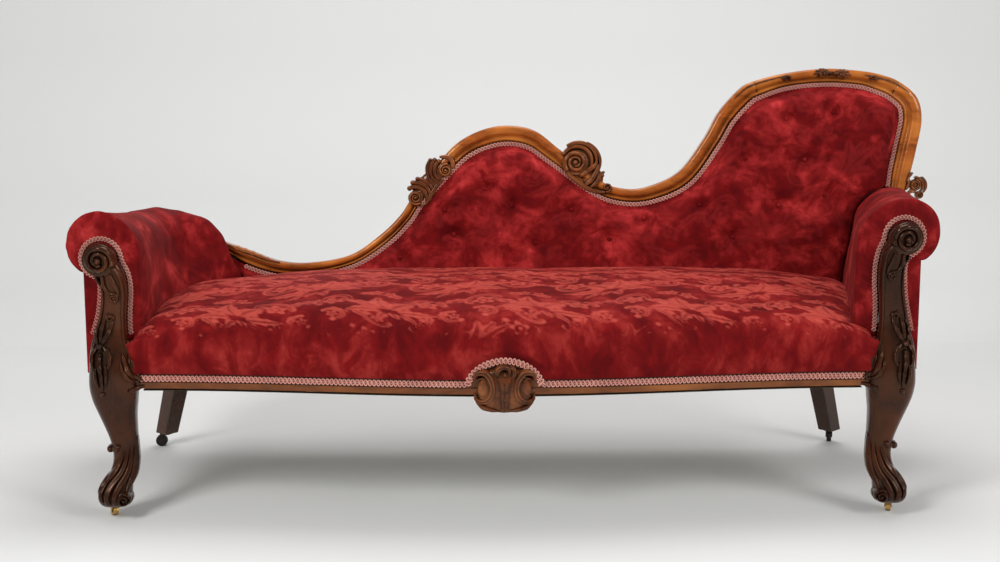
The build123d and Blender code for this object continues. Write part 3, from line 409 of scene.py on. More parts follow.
def joined(name, runs, place=None):
    """One closed piece from runs of closed rings of points, the two ends of each drawn together. Flat
    rings of (across, up, out) are set on their ground by place."""
    points, faces, count = [], [], 0
    for rings in runs:
        rows, around = rings.shape[:2]
        ends = [np.repeat(rings[i].mean(axis=0)[None], around, axis=0)[None] for i in (0, -1)]
        points.append(np.concatenate([ends[0], rings, ends[1]]).reshape(-1, 3))
        faces.append(grid_faces(rows + 2, around, wrap=True) + count)
        count += len(points[-1])
    points = np.concatenate(points)
    if place:
        points = place(*points.T)
    return outward(put_mesh(name, points, np.concatenate(faces)))


def settle(piece, paint, replaces=(), body="couch"):
    """Gives a piece its material, hangs it on the body it rides on, and hides the parts it stands for."""
    piece.data.materials.append(paint)
    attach(piece, body)
    if replaces:
        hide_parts(*replaces)
    return piece


share, height = rail_section()
for name, (first, last) in BACK_RAILS.items():
    line, inward = edge_line(first, last, 5)
    flat = line[:, None, :2] + inward[:, None] * (line[:, 2:3] * share)[..., None]
    rail = joined(f"{name}_moulded", [on_back(flat[..., 0], flat[..., 1], height[None])])
    settle(rail, RAIL_WOOD, [name])


# --- Carving on the back frame ---
# Scrolls and leaves cut in the solid where the rails meet: a pair of scrolls under the arch, a
# large one at its right foot, one at the foot of the head post, and sprays along the crest.


def strand(curve, half_width, height, sink, lobes=0, rib=0.0):
    """A carved ridge along a curve, as rings of (across, up, out): half an ellipse above the ground
    and a flat below. Widths and heights are spread evenly along it; lobes scallops its edges by a
    rectified cosine, and rib cuts a bell-shaped line down its middle."""
    curve = np.asarray(curve, float)
    share = np.linspace(0, 1, len(curve))
    scallop = 1 - 0.3 * np.abs(np.cos(math.pi * lobes * share)) if lobes else np.ones_like(share)
    half = np.interp(share, np.linspace(0, 1, len(half_width)), half_width) * scallop
    top = np.interp(share, np.linspace(0, 1, len(height)), height) * (0.5 + 0.5 * scallop)
    turn = np.linspace(0, math.pi, 11)
    ridge = np.sin(turn) ** 0.8 * (1 - rib * np.exp(-(np.cos(turn) / 0.22) ** 2))
    out = np.concatenate([[-sink], ridge, [-sink]])
    over = np.concatenate([[1], np.cos(turn), [-1]])
    flat = curve[:, None] + sideways(curve)[:, None] * (half[:, None] * over)[..., None]
    high = np.where(out < 0, out, out * top[:, None])
    return np.concatenate([flat, high[..., None]], -1)


def line_strand(points, half, high, lobes=0, rib=0.25, sink=6):
    """A strand along the smooth curve through a few points, which is cut into steps of 1.6 mm."""
    line = through(points, np.linspace(0, len(points) - 1, 30 * len(points)))
    return strand(evenly(line, 1.6)[0], half, high, sink, lobes, rib)


def strands(rows, base=0, **cut):
    """Strands that are cut alike: a row holds the points, their heights over base, the half widths,
    the heights of the ridge, and its lobes where it has some."""
    return [line_strand([(u, base + v) for u, v in points], *form, **cut) for points, *form in rows]


def round_line(centre, radius, angle):
    """Points of (across, up) at a radius and angles round a centre."""
    return np.stack([centre[0] + radius * np.cos(angle), centre[1] + radius * np.sin(angle)], -1)


def coil(centre, radius, start, turns, eye):
    """A volute's line: its radius shrinks evenly to the eye as the angle runs from start, in degrees,
    through turns; negative turns run clockwise. One turn takes 44 steps."""
    share = np.linspace(0, 1, int(abs(turns) * 44))
    angle = math.radians(start) + 2 * math.pi * turns * share
    return round_line(centre, radius + (eye - radius) * share**0.85, angle)


def dome(centre, radius, base, top, sink):
    """A round boss as rings of (across, up, out): its radius shrinks by a cosine as it rises."""
    rise = np.linspace(0, math.pi / 2, 7)
    share = np.concatenate([[1], np.cos(rise)])[:, None]
    out = np.concatenate([[base - sink], base + (top - base) * np.sin(rise)])
    turn = np.linspace(0, 2 * math.pi, 25)[:-1]
    flat = round_line(centre, radius * share, turn)
    return np.concatenate([flat, np.broadcast_to(out[:, None, None], (*flat.shape[:2], 1))], -1)


def volute(centre, radius, start, turns, base=0.0, high=5.0, sink=12.0):
    """A scroll: a sunk round ground, a band that winds in and narrows, and a raised round eye."""
    wide = radius * 0.15
    line = coil(centre, radius - wide, start, turns, radius * 0.26)
    band = strand(line, (wide * 1.25, wide, 0.7 * wide), (high * 1.2, high), sink)
    band[..., 2] += base
    ground = dome(centre, radius * 0.94, base - 2, base - 0.6, sink)
    return [band, ground, dome(centre, radius * 0.23, base, base + high * 1.4, 2)]


def fold(centre, radius, first, last, half, high, ball=True):
    """A leaf fold round a scroll: a strand on an arc, broad at its root and rolled into a ball."""
    line = round_line(centre, radius, np.radians(np.linspace(first, last, 30)))
    widths, heights = (half, half * 1.2, half, half * 0.45), (high, high, high * 0.8, high * 0.4)
    made = [strand(line, widths, heights, 12, rib=0.25)]
    return made + ([dome(line[0], half * 1.2, -1, high + 1.5, 10)] if ball else [])


LOW_SCROLL, HIGH_SCROLL = (-248, 618), (-176, 684)
pair = volute(LOW_SCROLL, 19, -50, -1.8, base=4, high=6) + volute(HIGH_SCROLL, 18, 70, 1.8, base=4, high=6)
# (scroll, radius, first and last angle, half width, height) of the folds round them
for row in (
    (LOW_SCROLL, 27, 122, -28, 5.2, 8), (LOW_SCROLL, 37, 100, -12, 5.2, 9), (LOW_SCROLL, 46, 84, 8, 4.6, 8),
    (HIGH_SCROLL, 27, 128, 238, 5.0, 8), (HIGH_SCROLL, 36, 136, 226, 4.8, 9),
    (HIGH_SCROLL, 44, 146, 214, 4.2, 8),
):
    pair += fold(*row)
pair += strands([
    ([(-238, 598), (-222, 606), (-210, 626), (-196, 648), (-180, 662)], (3, 5, 6, 5, 3), (4, 6, 6, 6, 4)),
    ([(-158, 690), (-160, 706), (-172, 716), (-190, 716)], (5, 6, 5, 3), (7, 8, 7, 5)),
], rib=0.2, sink=12)
pair += [dome((-226, 640), 30, -8, 1, 14), dome((-196, 672), 28, -8, 1, 14), dome((-212, 656), 24, -6, 2, 14)]
settle(joined("scroll_pair_carved", pair, on_back), CARVED_WOOD, ["scroll_pair"])

centre = volute((136, 702), 32, 225, -1.9, base=5, high=8)
centre += fold((140, 705), 36, 150, -34, 4.6, 9) + fold((143, 706), 44, 128, -30, 4.4, 9, ball=False)
centre += fold((146, 702), 50, 70, -32, 3.6, 7, ball=False)
centre += strands([
    ([(150, 672), (166, 682), (182, 695), (188, 706)], (5, 7, 6, 3), (8, 10, 9, 5)),
    ([(160, 648), (176, 662), (187, 682), (192, 698)], (4, 7, 6, 3), (7, 9, 8, 5)),
    ([(172, 642), (188, 656), (196, 672), (206, 680)], (3, 6, 5, 3), (6, 8, 7, 5)),
], sink=14)
low_leaf = [(112, 686), (124, 670), (142, 656), (162, 642), (186, 632), (208, 631)]
centre += [
    line_strand(low_leaf, (4, 6, 6, 6, 5, 3), (6, 7, 7, 7, 6, 5), rib=0.2, sink=14),
    strand(coil((212, 642), 11, 255, 1.4, 3), (3.4, 2.4), (7, 7), 12), dome((212, 642), 4, 0, 8, 8),
    dome((152, 673), 6.5, 0, 11, 8), dome((201, 671), 5, 0, 8, 10),
    dome((150, 704), 47, -12, -3, 12), dome((178, 664), 26, -8, 1, 12),
]
settle(joined("centre_scroll_carved", centre, on_back), CARVED_WOOD, ["centre_scroll"])

end = volute((956, 646), 15, 90, -2.0, base=2, high=5) + volute((966, 622), 10, 60, -1.6, base=2, high=5)
end += fold((956, 645), 19, 80, -50, 3.8, 6) + fold((957, 644), 25, 50, -40, 3.2, 5)
end += strands([
    ([(934, 634), (940, 648), (940, 664), (950, 676)], (3, 5, 3), (4, 6, 4), 3),
    ([(938, 624), (948, 632), (958, 628)], (3, 5, 3), (4, 6, 4)),
], rib=0.3, sink=10)
settle(joined("end_scroll_carved", end, on_back), CARVED_WOOD, ["end_scroll"])

# (direction in degrees, length, half width) of a spray's leaves
SPRAY_LEAVES = [
    (-4, 26, 4.2), (22, 22, 4.4), (50, 17, 4.2), (82, 14, 4),
    (118, 14, 4), (152, 15, 3.6), (-32, 18, 4), (205, 12, 3.6),
]


def spray(x, s, side, size):
    """A bunch of small leaves round a berry, the longest on the side it leans to."""
    second = (x - 6 * side * size, s + 4 * size)
    made = [dome((x, s), 3.6 * size, 2, 9, 6), dome(second, 2.6 * size, 2, 8, 6)]
    for direction, long, half in SPRAY_LEAVES:
        u, v = side * math.cos(math.radians(direction)), math.sin(math.radians(direction))
        reach = long * size
        bend = 0.14 * reach * side
        middle = (x + 0.55 * reach * u - bend * v, s + 0.55 * reach * v + bend * u)
        line = [(x + 3 * u, s + 3 * v), middle, (x + reach * u, s + reach * v)]
        made.append(line_strand(line, (2, half * size, 1.6), (5, 8.5, 3), lobes=2, rib=0.4))
    return made


def on_crest(x, s, out):
    """Points on the crest rail, lifted so that the carving follows its rounded edge."""
    return on_back(x, s, out + 0.5)


crest = []
for x, side, size in ((733, -1, 1.0), (772, 1, 1.0), (646, -1, 0.62), (850, 1, 0.62)):
    crest += spray(x, np.interp(x, (640, 735, 819, 870), (904, 916, 911, 900)) - 3, side, size)
crest += spray(752, 912, 1, 0.55)
for first, last, low in ((19.6, 22.0, 7), (24.2, 26.6, 9)):
    line, inward = edge_line(first, last, 3)
    crest.append(strand(line[:, :2] + inward * low, (1, 3.2, 2.6, 1), (2, 4.5, 4.5, 2), 6, lobes=7, rib=0.3))
settle(joined("crest_carved", crest, on_crest), CARVED_WOOD, ["crest_carving"])

line, inward = edge_line(0, 2, 2)
leaf = [
    strand(line[10:, :2] + inward[10:] * 3, (2, 7, 6, 5, 2), (4, 8, 8, 6, 3), 8, lobes=7, rib=0.3),
    strand(line[30:, :2] + inward[30:] * 11, (1, 4, 3, 1), (2, 4, 3, 2), 6, lobes=5),
]
settle(joined("foot_rail_leaf", leaf, on_back), CARVED_WOOD)


# --- Front legs and arm facings ---
# Each cabriole leg and the facing above it are sawn from one plank and carved: a volute under the
# arm's roll with a curl on its stem, a spray of leaves over the knee, a leaf beside the seat, and
# a curled toe under a collar of leaves.

CENTRE_X = -47
FRONT_Y = -276
VOLUTE_Z = {"left": 565, "right": 606}
SIDES = {"left": -1, "right": 1}
# (height, inner and outer edge from the couch's middle, front and back edge from the rail's face)
LEG_FORM = [
    (28.8, 810, 862, -14, 34), (36, 803, 868, -22, 36), (50, 799, 871, -26, 32), (66, 798, 866, -22, 34),
    (83, 798, 855, -14, 42), (105, 792, 845, -4, 50), (125, 787, 840, 3, 54), (150, 786, 841, 5, 58),
    (175, 787, 847, 2, 60), (205, 787, 857, -6, 61), (230, 786, 866, -14, 62), (260, 782, 876, -23, 60),
    (288, 779, 881, -28, 58), (314, 780, 881, -28, 58), (340, 785, 879, -26, 58), (364, 790, 877, -22, 50),
    (385, 794, 872, -17, 24), (405, 797, 866, -14, 20),
]
# (share of the way from the seat rail to the volute, inner and outer edge)
FACING_FORM = [
    (0.26, 798, 860), (0.42, 797, 852), (0.58, 794, 848), (0.72, 794, 847),
    (0.84, 798, 850), (0.94, 806, 856), (1.0, 815, 860),
]
FACING_FOOT = 372
ROUND = 2.9


def leg_rows(name):
    """A leg's sections with those of its facing, which is 32 mm thick, and the same smoothed."""
    rise = VOLUTE_Z[name] - FACING_FOOT
    facing = [(FACING_FOOT + share * rise, near, far, -12, 20) for share, near, far in FACING_FORM]
    rows = np.array(LEG_FORM + facing, float)
    return through(rows, np.linspace(0, len(rows) - 1, 12 * len(rows)))


def leg_ground(name):
    """Where carving stands on a leg: its face there is a superellipse of its section."""
    rows = leg_rows(name)
    rows = rows[np.argsort(rows[:, 0])]

    def place(across, up, out):
        near, far, front, back = (np.interp(up, rows[:, 0], rows[:, i]) for i in (1, 2, 3, 4))
        aside = np.clip(np.abs(2 * (across - (near + far) / 2) / (far - near)), 0, 0.97)
        bulge = (back - front) / 2 * (1 - aside**ROUND) ** (1 / ROUND)
        return np.stack([CENTRE_X + SIDES[name] * across, FRONT_Y + (front + back) / 2 - bulge - out, up], -1)

    return place


KNOB_Z = 384
knob = [dome((850, KNOB_Z), 8, 0, 15, 8), dome((850, KNOB_Z - 17), 5, 0, 12, 6)]
knee = strands([
    ([(846, 5), (836, 22), (826, 40), (822, 56)], (5, 8, 6, 3), (9, 13, 11, 6), 3),
    ([(850, 8), (846, 34), (840, 54), (832, 70)], (4, 7, 5, 2), (8, 12, 10, 5), 3),
    ([(856, 4), (860, 22), (856, 40), (850, 50)], (4, 6, 5, 2), (8, 12, 10, 5), 3),
    ([(843, 0), (832, -14), (830, -34), (838, -52)], (4, 7, 6, 2), (10, 14, 11, 5), 3),
    ([(850, -18), (851, -44), (848, -68), (846, -94)], (4, 7, 6, 2), (10, 14, 11, 5), 4),
    ([(857, -3), (869, -18), (869, -40), (861, -60)], (4, 7, 6, 2), (10, 14, 11, 5), 3),
], base=KNOB_Z, rib=0.35)
knee += strands([
    ([(840, -40), (838, -62), (840, -84)], (3, 5, 2), (8, 11, 5)),
    ([(860, -46), (861, -68), (855, -88)], (3, 5, 2), (8, 11, 5)),
], base=KNOB_Z)
knee += [
    strand(coil((828, KNOB_Z + 58), 8, 190, -1.4, 2.5), (3.2, 2), (8, 6), 8),
    dome((847, KNOB_Z - 103), 6, 0, 7, 6),
]
ear = strands([
    ([(800, 386), (792, 372), (787, 352), (782, 330), (770, 312)], (2, 6, 7, 6, 2), (5, 9, 10, 9, 4), 3),
    ([(804, 370), (799, 350), (794, 332), (783, 316), (766, 306)], (2, 6, 7, 6, 2), (5, 9, 10, 9, 4), 3),
    ([(808, 350), (805, 334), (798, 320), (788, 309), (772, 300)], (2, 5, 6, 5, 2), (4, 7, 8, 7, 4), 3),
    ([(797, 392), (788, 384), (781, 370), (776, 354), (768, 338)], (1, 4, 5, 4, 1), (4, 7, 8, 7, 4)),
    ([(792, 288), (786, 286), (776, 290), (764, 295)], (4, 6, 5, 2), (6, 8, 7, 4)),
], sink=14)
toe = [
    line_strand(
        [(786, 176), (788, 150), (789, 126), (793, 98), (802, 76), (806, 60)],
        (1, 4, 6, 7, 6, 4), (0.4, 4, 8, 9, 9, 7), rib=0.2, sink=14,
    ),
    line_strand([(822, 160), (830, 151), (842, 149)], (3, 5, 5), (6, 8, 8), sink=12),
    dome((845, 149), 8, -3, 9, 12), dome((828, 157), 5, 0, 8, 10),
]
toe += strands([
    ([(796, 172), (797, 150), (799, 126), (807, 100), (822, 76), (831, 54), (829, 36)],
     (1, 4, 6, 7, 8, 8, 6), (0.4, 4, 9, 10, 11, 11, 6)),
    ([(805, 166), (806, 146), (810, 126), (819, 104), (838, 80), (848, 58), (846, 37)],
     (1, 4, 6, 7, 7.5, 7.5, 6), (0.4, 4, 9, 10, 11, 11, 6)),
    ([(814, 160), (816, 142), (822, 124), (833, 106), (852, 86), (863, 64), (860, 42)],
     (1, 4, 5, 6.5, 6.5, 7, 5), (0.4, 4, 8, 9, 9, 9, 5)),
], sink=16)
toe += volute((811, 49), 17, 95, 1.5, base=7, high=10, sink=22)

turn = np.linspace(0, 2 * math.pi, 57)[:-1]
wide = np.sign(np.cos(turn)) * np.abs(np.cos(turn)) ** (2 / ROUND)
deep = np.sign(np.sin(turn)) * np.abs(np.sin(turn)) ** (2 / ROUND)
for name, side in SIDES.items():
    rows = leg_rows(name)[:, :, None]
    x = CENTRE_X + side * ((rows[:, 1] + rows[:, 2]) / 2 + (rows[:, 2] - rows[:, 1]) / 2 * wide)
    y = FRONT_Y + (rows[:, 3] + rows[:, 4]) / 2 + (rows[:, 4] - rows[:, 3]) / 2 * deep
    leg = joined(f"front_leg_shaped_{name}", [np.stack([x, y, rows[:, 0] + 0 * x], -1)])
    settle(leg, LEG_WOOD, [f"front_leg_{name}"])
    vz = VOLUTE_Z[name]
    stem = vz - FACING_FOOT
    spiral = volute((849, vz), 37.5, 200, -1.9, base=4, high=9, sink=24)
    inner = [(818, -14), (804, -34), (799, -0.34 * stem), (801, -0.55 * stem), (802, -0.8 * stem)]
    inner.append((796, 366 - vz))
    outer = [(858, -38), (846, -58), (843, -0.42 * stem), (848, -0.6 * stem)]
    outer += [(862, 392 - vz), (872, 362 - vz)]
    beads = strands([(inner, (5, 5, 4, 3, 2), (9, 7, 5, 4, 3))], base=vz, rib=0, sink=14)
    beads += strands([(outer, (3, 3, 3, 2.4, 2), (4, 5, 5, 4, 3))], base=vz, rib=0, sink=12)
    sprig = strands([
        ([(842, -34), (840, -52), (832, -66), (822, -70)], (4, 5, 4, 3), (8, 8, 7, 6), 0, 0.3),
        ([(824, -30), (818, -48), (811, -62), (808, -76)], (4, 6, 5, 2), (8, 8, 6, 4), 0, 0.35),
    ], base=vz)
    curl = (819, vz - 79)
    sprig += [strand(coil(curl, 10, 60, 1.6, 3), (3.4, 2.4), (7, 7), 8), dome(curl, 4, 0, 8, 6)]
    carving = joined(
        f"facing_carved_{name}", spiral + beads + sprig + knob + knee + ear + toe, leg_ground(name),
    )
    settle(carving, LEG_WOOD)


# --- Casters ---
# Bought castings: a cup driven into the foot, a horn that swivels in it, and a small wheel on an
# axle. The front ones are yellow brass, dulled in the corners, the back ones nearly black.

brass, tree, shader = material("caster_brass", 0.3, Metallic=1.0)
spots = cloudy(tree, where_on(tree), 220, 5)
tone = blend_colour(tree, spread(tree, spots, 0.35, 0.65), (0.72, 0.47, 0.16, 1), (0.52, 0.31, 0.09, 1))
dull = spread(tree, openness(tree, 0.006), 0.3, 0.9, 0.85, 0.0)
tone = blend_colour(tree, dull, tone, (0.05, 0.03, 0.012, 1))
dress(tree, shader, tone, spread(tree, spots, 0.3, 0.7, 0.22, 0.5))

iron, tree, shader = material("caster_iron", 0.5, Metallic=0.8)
spots = cloudy(tree, where_on(tree), 180, 6)
tone = blend_colour(tree, spread(tree, spots, 0.4, 0.7), (0.020, 0.018, 0.017, 1), (0.075, 0.055, 0.045, 1))
dress(tree, shader, tone, spread(tree, spots, 0.3, 0.7, 0.4, 0.75))

for corner_name in ("front_left", "front_right", "back_left", "back_right"):
    metal = brass if corner_name.startswith("front") else iron
    finish_nodes(metal, *(f"caster_{piece}_{corner_name}" for piece in ("socket", "horn", "axle", "wheel")))


# --- Springing ---
# Jute webbing strained over the rails, wire springs sewn to it, and a hessian over them. The
# webbing and hessian are woven jute, the springs copper-washed wire.

jute, g_in, g_out = new_group(
    "jute_weave",
    [("Pitch", "Float", 1000.0), ("Dark", "Color", (0, 0, 0, 1)), ("Light", "Color", (0, 0, 0, 1))],
    [("Color", "Color"), ("Height", "Float")],
)
place = where_on(jute)
spot = node(jute, "SeparateXYZ", {0: place}).outputs
threads = [
    node(jute, "Math", {0: product(jute, spot[axis], g_in.outputs["Pitch"])}, operation="SINE").outputs[0]
    for axis in ("X", "Y", "Z")
]
crossed = product(jute, threads[0], total(jute, threads[1], threads[2]))
slub = spread(jute, cloudy(jute, place, 90, 4), 0.35, 0.7, 0.0, 0.5)
tone = blend_colour(jute, spread(jute, crossed, -0.8, 0.8), g_in.outputs["Dark"], g_in.outputs["Light"])
jute.links.new(blend_colour(jute, slub, tone, g_in.outputs["Dark"]), g_out.inputs["Color"])
jute.links.new(spread(jute, crossed, -1, 1), g_out.inputs["Height"])


def jute_cloth(name, dark, light, pitch, roughness=0.9, strength=0.5, deep=0.0006, fuzz=0.0):
    """Coarse jute in two tones, with pitch the radians of thread per metre."""
    made, tree, shader = material(name, roughness, Sheen_Weight=fuzz)
    inputs = {"Pitch": pitch, "Dark": (*dark, 1), "Light": (*light, 1)}
    weave = node(tree, "Group", inputs, node_tree=jute).outputs
    dress(tree, shader, weave["Color"], None, weave["Height"], strength, deep)
    return made


HESSIAN = jute_cloth("hessian", (0.24, 0.16, 0.08), (0.50, 0.38, 0.22), 2200)
WEBBING = jute_cloth("webbing_jute", (0.20, 0.13, 0.06), (0.42, 0.31, 0.17), 1400)
OLIVE = jute_cloth("bottoming", (0.060, 0.055, 0.028), (0.125, 0.115, 0.060), 3600, 0.85, 0.3, 0.0004, 0.15)

wire, tree, shader = material("spring_wire", 0.38, Metallic=1.0)
bare = spread(tree, cloudy(tree, where_on(tree), 300, 4), 0.4, 0.65)
dress(tree, shader, blend_colour(tree, bare, (0.42, 0.25, 0.16, 1), (0.16, 0.09, 0.06, 1)))
finish_nodes(wire, "seat_springs")

WEB_ROWS = [-125, 5, 135]
WEB_COLUMNS = [CENTRE_X + (i - 2.5) * 262 for i in range(6)]
WEB_WIDE, WEB_THICK, WEB_Z = 50, 2.0, 285.6


def web(start, end, crossings, first, place):
    """A strap of webbing from start to end: a flat bar whose middle rises and dips by a smooth bump at
    each crossing, over and under by turns. place(along, aside, out) sets it."""
    along = np.linspace(start, end, 160)[:, None]
    lift = sum(((-1) ** (i + first)) * np.exp(-(((along - at) / 36) ** 2)) for i, at in enumerate(crossings))
    aside = np.array([-0.5, -0.47, 0.47, 0.5, 0.5, 0.47, -0.47, -0.5]) * WEB_WIDE
    out = np.array([0.3, 0.5, 0.5, 0.3, -0.3, -0.5, -0.5, -0.3]) * WEB_THICK
    return place(*np.broadcast_arrays(along, aside, out + lift * WEB_THICK * 0.55))


def bow(across):
    """How far forward the serpentine front rail's face lies, by a squared cosine, and level outside it."""
    return FRONT_Y - 66 * np.cos(math.pi * np.clip(np.asarray(across) / 1580, -0.5, 0.5)) ** 2


straps = []
for i, x in enumerate(WEB_COLUMNS):
    front = float(bow(x - CENTRE_X)) + 10
    straps.append(web(front, 268, WEB_ROWS, i, lambda a, b, c: np.stack([x + b, a, WEB_Z + c], -1)))
for i, y in enumerate(WEB_ROWS):
    ends = (CENTRE_X - 868, CENTRE_X + 868)
    straps.append(web(*ends, WEB_COLUMNS, i + 1, lambda a, b, c: np.stack([a, y + b, WEB_Z + c], -1)))
settle(joined("seat_straps", straps), WEBBING, ["seat_webbing"])
straps = [
    web(start, end, [-262, 15, 480], 0, lambda a, b, c: on_back(a, s + b, c - 10.7))
    for s, start, end in ((404, -705, 842), (480, -280, 858), (560, -6, 858))
]
settle(joined("back_straps", straps), WEBBING, ["back_webbing"])


def cloth_sheet(name, front, back, paint, slot, node_name, *rests_on):
    """A thin closed sheet from two grids of points, its two faces, joined round the edge. Half the
    area of its faces is the cloth's, and its flat width covers that area."""
    piece = joined(name, [np.concatenate([front, back[:, ::-1]], axis=1)])
    settle(piece, paint, [node_name])
    area = sum(face.area for face in piece.data.polygons) / 2
    wide, long = (float(size) for size in np.sort(np.ptp(front.reshape(-1, 3), axis=0) / 1000)[1:])
    wide *= max(1.0, 1.001 * area / (wide * long))
    return piece


def seat_sheet(half, rear, level, droop):
    """A grid in plan between the serpentine rail and the back rail, that droops by the product of two
    flat-topped humps: one minus an even power of the distance from its middle."""
    across = np.linspace(-half, half, 170)
    share = np.linspace(0, 1, 64)
    near = bow(across)[:, None] + 8
    y = near + share * (rear - near)
    hump = (1 - np.abs(across / half) ** 6)[:, None] * (1 - np.abs(2 * share - 1) ** 5)
    wave = 0.12 * np.sin(across / 41)[:, None] * np.sin(math.pi * share)
    z = level - droop * (hump + wave * hump)
    return np.stack(np.broadcast_arrays(CENTRE_X + across[:, None], y, z), -1)


sheet = seat_sheet(786, 228, 373.8, -3)
below = sheet - (0, 0, 1.2)
cloth_sheet("seat_canvas", sheet, below, HESSIAN, "hessian", "seat_hessian", "front_rail", "back_rail")
sheet = seat_sheet(768, 214, 281.6, 5)
below = sheet - (0, 0, 0.9)
cloth_sheet("bottoming_panel", sheet, below, OLIVE, "bottoming", "bottoming_cloth", "front_rail", "back_rail")


# --- Velvet ---
# One cloth covers the whole couch: a deep crimson velvet, its pile crushed into lighter clouds by
# years of sitting, with a traditional figure of mirrored leaves and scrolling stems. The figure shows
# salmon on the seat's top, brightened there as a painted sheen, and is painted faint down the front.

STANDING_PILE = (0.03, 0.001, 0.002, 1)
crushed, g_in, g_out = new_group(
    "crushed_pile",
    [("Deep", "Color", (0.105, 0.0035, 0.0045, 1)), ("Middle", "Color", (0.26, 0.0080, 0.0090, 1)),
     ("Bright", "Color", (0.52, 0.060, 0.058, 1)), ("Figure", "Float", 0.0),
     ("Figure strength", "Float", 0.5), ("Crush", "Float", 0.5), ("Brush", "Vector", (1, 1, 1))],
    [("Color", "Color"), ("Roughness", "Float"), ("Height", "Float")],
)
place = where_on(crushed)
pile = cloudy(crushed, place, 1300, 2)
place = node(crushed, "Mapping", {"Vector": place, "Scale": g_in.outputs["Brush"]}).outputs[0]
cloud = cloudy(crushed, place, 13, 4, Roughness=0.58, Distortion=0.5)
brushed = cloudy(crushed, place, 24, 5, Roughness=0.6, Distortion=0.7)
flecks = cloudy(crushed, place, 90, 4, Distortion=1.0)
wear = product(crushed, spread(crushed, cloud, 0.47, 0.64), spread(crushed, brushed, 0.40, 0.60))
wear = product(crushed, wear, spread(crushed, flecks, 0.3, 0.75, 0.55, 1.25))
lay = total(crushed, product(crushed, cloud, 0.6), product(crushed, brushed, 0.4))
share = spread(crushed, lay, 0.40, 0.61, 0.05, 1.0)
tone = blend_colour(crushed, share, g_in.outputs["Deep"], g_in.outputs["Middle"])
share = product(crushed, wear, g_in.outputs["Crush"])
tone = blend_colour(crushed, share, tone, g_in.outputs["Bright"])
edge = spread(crushed, g_in.outputs["Figure"], -0.6, 0.8)
share = product(crushed, edge, g_in.outputs["Figure strength"])
share = product(crushed, share, spread(crushed, flecks, 0.25, 0.75, 0.7, 1.15))
tone = blend_colour(crushed, share, tone, g_in.outputs["Bright"])
tone = blend_colour(crushed, spread(crushed, pile, 0.35, 0.62, 0.22, 0.0), tone, STANDING_PILE)
crushed.links.new(tone, g_out.inputs["Color"])
crushed.links.new(spread(crushed, wear, 0, 1, 0.82, 0.55), g_out.inputs["Roughness"])
height = total(crushed, product(crushed, pile, 0.5), product(crushed, edge, -0.5))
crushed.links.new(total(crushed, height, product(crushed, brushed, 2.0)), g_out.inputs["Height"])


def velvet(name, figure_strength, crush, bright, brush):
    """The couch's velvet, with how strongly its figure shows and how worn its pile is."""
    made, tree, shader = material(
        name, 0.7, Specular_IOR_Level=0.06,
        Sheen_Weight=0.10, Sheen_Roughness=0.36, Sheen_Tint=(1.0, 0.22, 0.20, 1),
    )
    figure = node(tree, "Attribute", attribute_name="figure").outputs["Fac"]
    inputs = {
        "Figure": figure, "Figure strength": figure_strength,
        "Crush": crush, "Bright": (*bright, 1), "Brush": brush,
    }
    cloth = node(tree, "Group", inputs, node_tree=crushed).outputs
    dress(tree, shader, cloth["Color"], cloth["Roughness"], cloth["Height"], 0.35, 0.0011)
    return made


SEAT_VELVET = velvet("seat_velvet", 0.72, 0.26, (0.60, 0.088, 0.064), (1, 1, 0.6))
BACK_VELVET = velvet("back_velvet", 0.18, 0.85, (0.58, 0.042, 0.042), (0.8, 1, 0.95))
ARM_VELVET = velvet("arm_velvet", 0.05, 0.70, (0.54, 0.042, 0.042), (1, 0.7, 0.8))
OUTSIDE_VELVET = velvet("outside_velvet", 0.0, 0.40, (0.46, 0.032, 0.034), (1, 1, 0.6))

FIGURE_WIDE, FIGURE_HIGH = 320, 300
# (across, up, direction in degrees, length, width, curl, lobes), for half of the figure's repeat
LEAVES = [
    (0, 4, 90, 84, 54, 0.0, 4), (6, 6, 50, 88, 42, 0.22, 4), (12, -4, 14, 76, 38, 0.40, 4),
    (10, -14, -24, 40, 22, 0.5, 2), (0, -8, -90, 26, 24, 0.0, 2), (160, 154, 90, 84, 54, 0.0, 4),
    (154, 156, 130, 88, 42, -0.22, 4), (148, 146, 166, 76, 38, -0.40, 4), (150, 136, 204, 40, 22, -0.5, 2),
    (160, 142, 270, 26, 24, 0.0, 2), (130, 62, 34, 56, 28, 0.4, 3), (52, 96, 150, 52, 28, -0.4, 3),
    (36, -90, 205, 46, 26, 0.3, 3), (118, -84, -24, 50, 28, 0.4, 3), (112, 12, 250, 46, 26, 0.3, 3),
    (58, -40, 60, 44, 24, -0.3, 3),
]
# (across, up, radius, first and last angle in degrees) of the scrolls between the leaves
SCROLLS = [(94, 52, 40, -30, 190), (70, -100, 40, 150, 400), (122, -22, 27, 60, 290), (40, -44, 24, 200, 420)]
# (across, up, radius) of the flowers
FLOWERS = [(94, 52, 22), (70, -100, 21), (18, 112, 14), (122, -22, 12), (40, -44, 10), (146, 60, 9)]


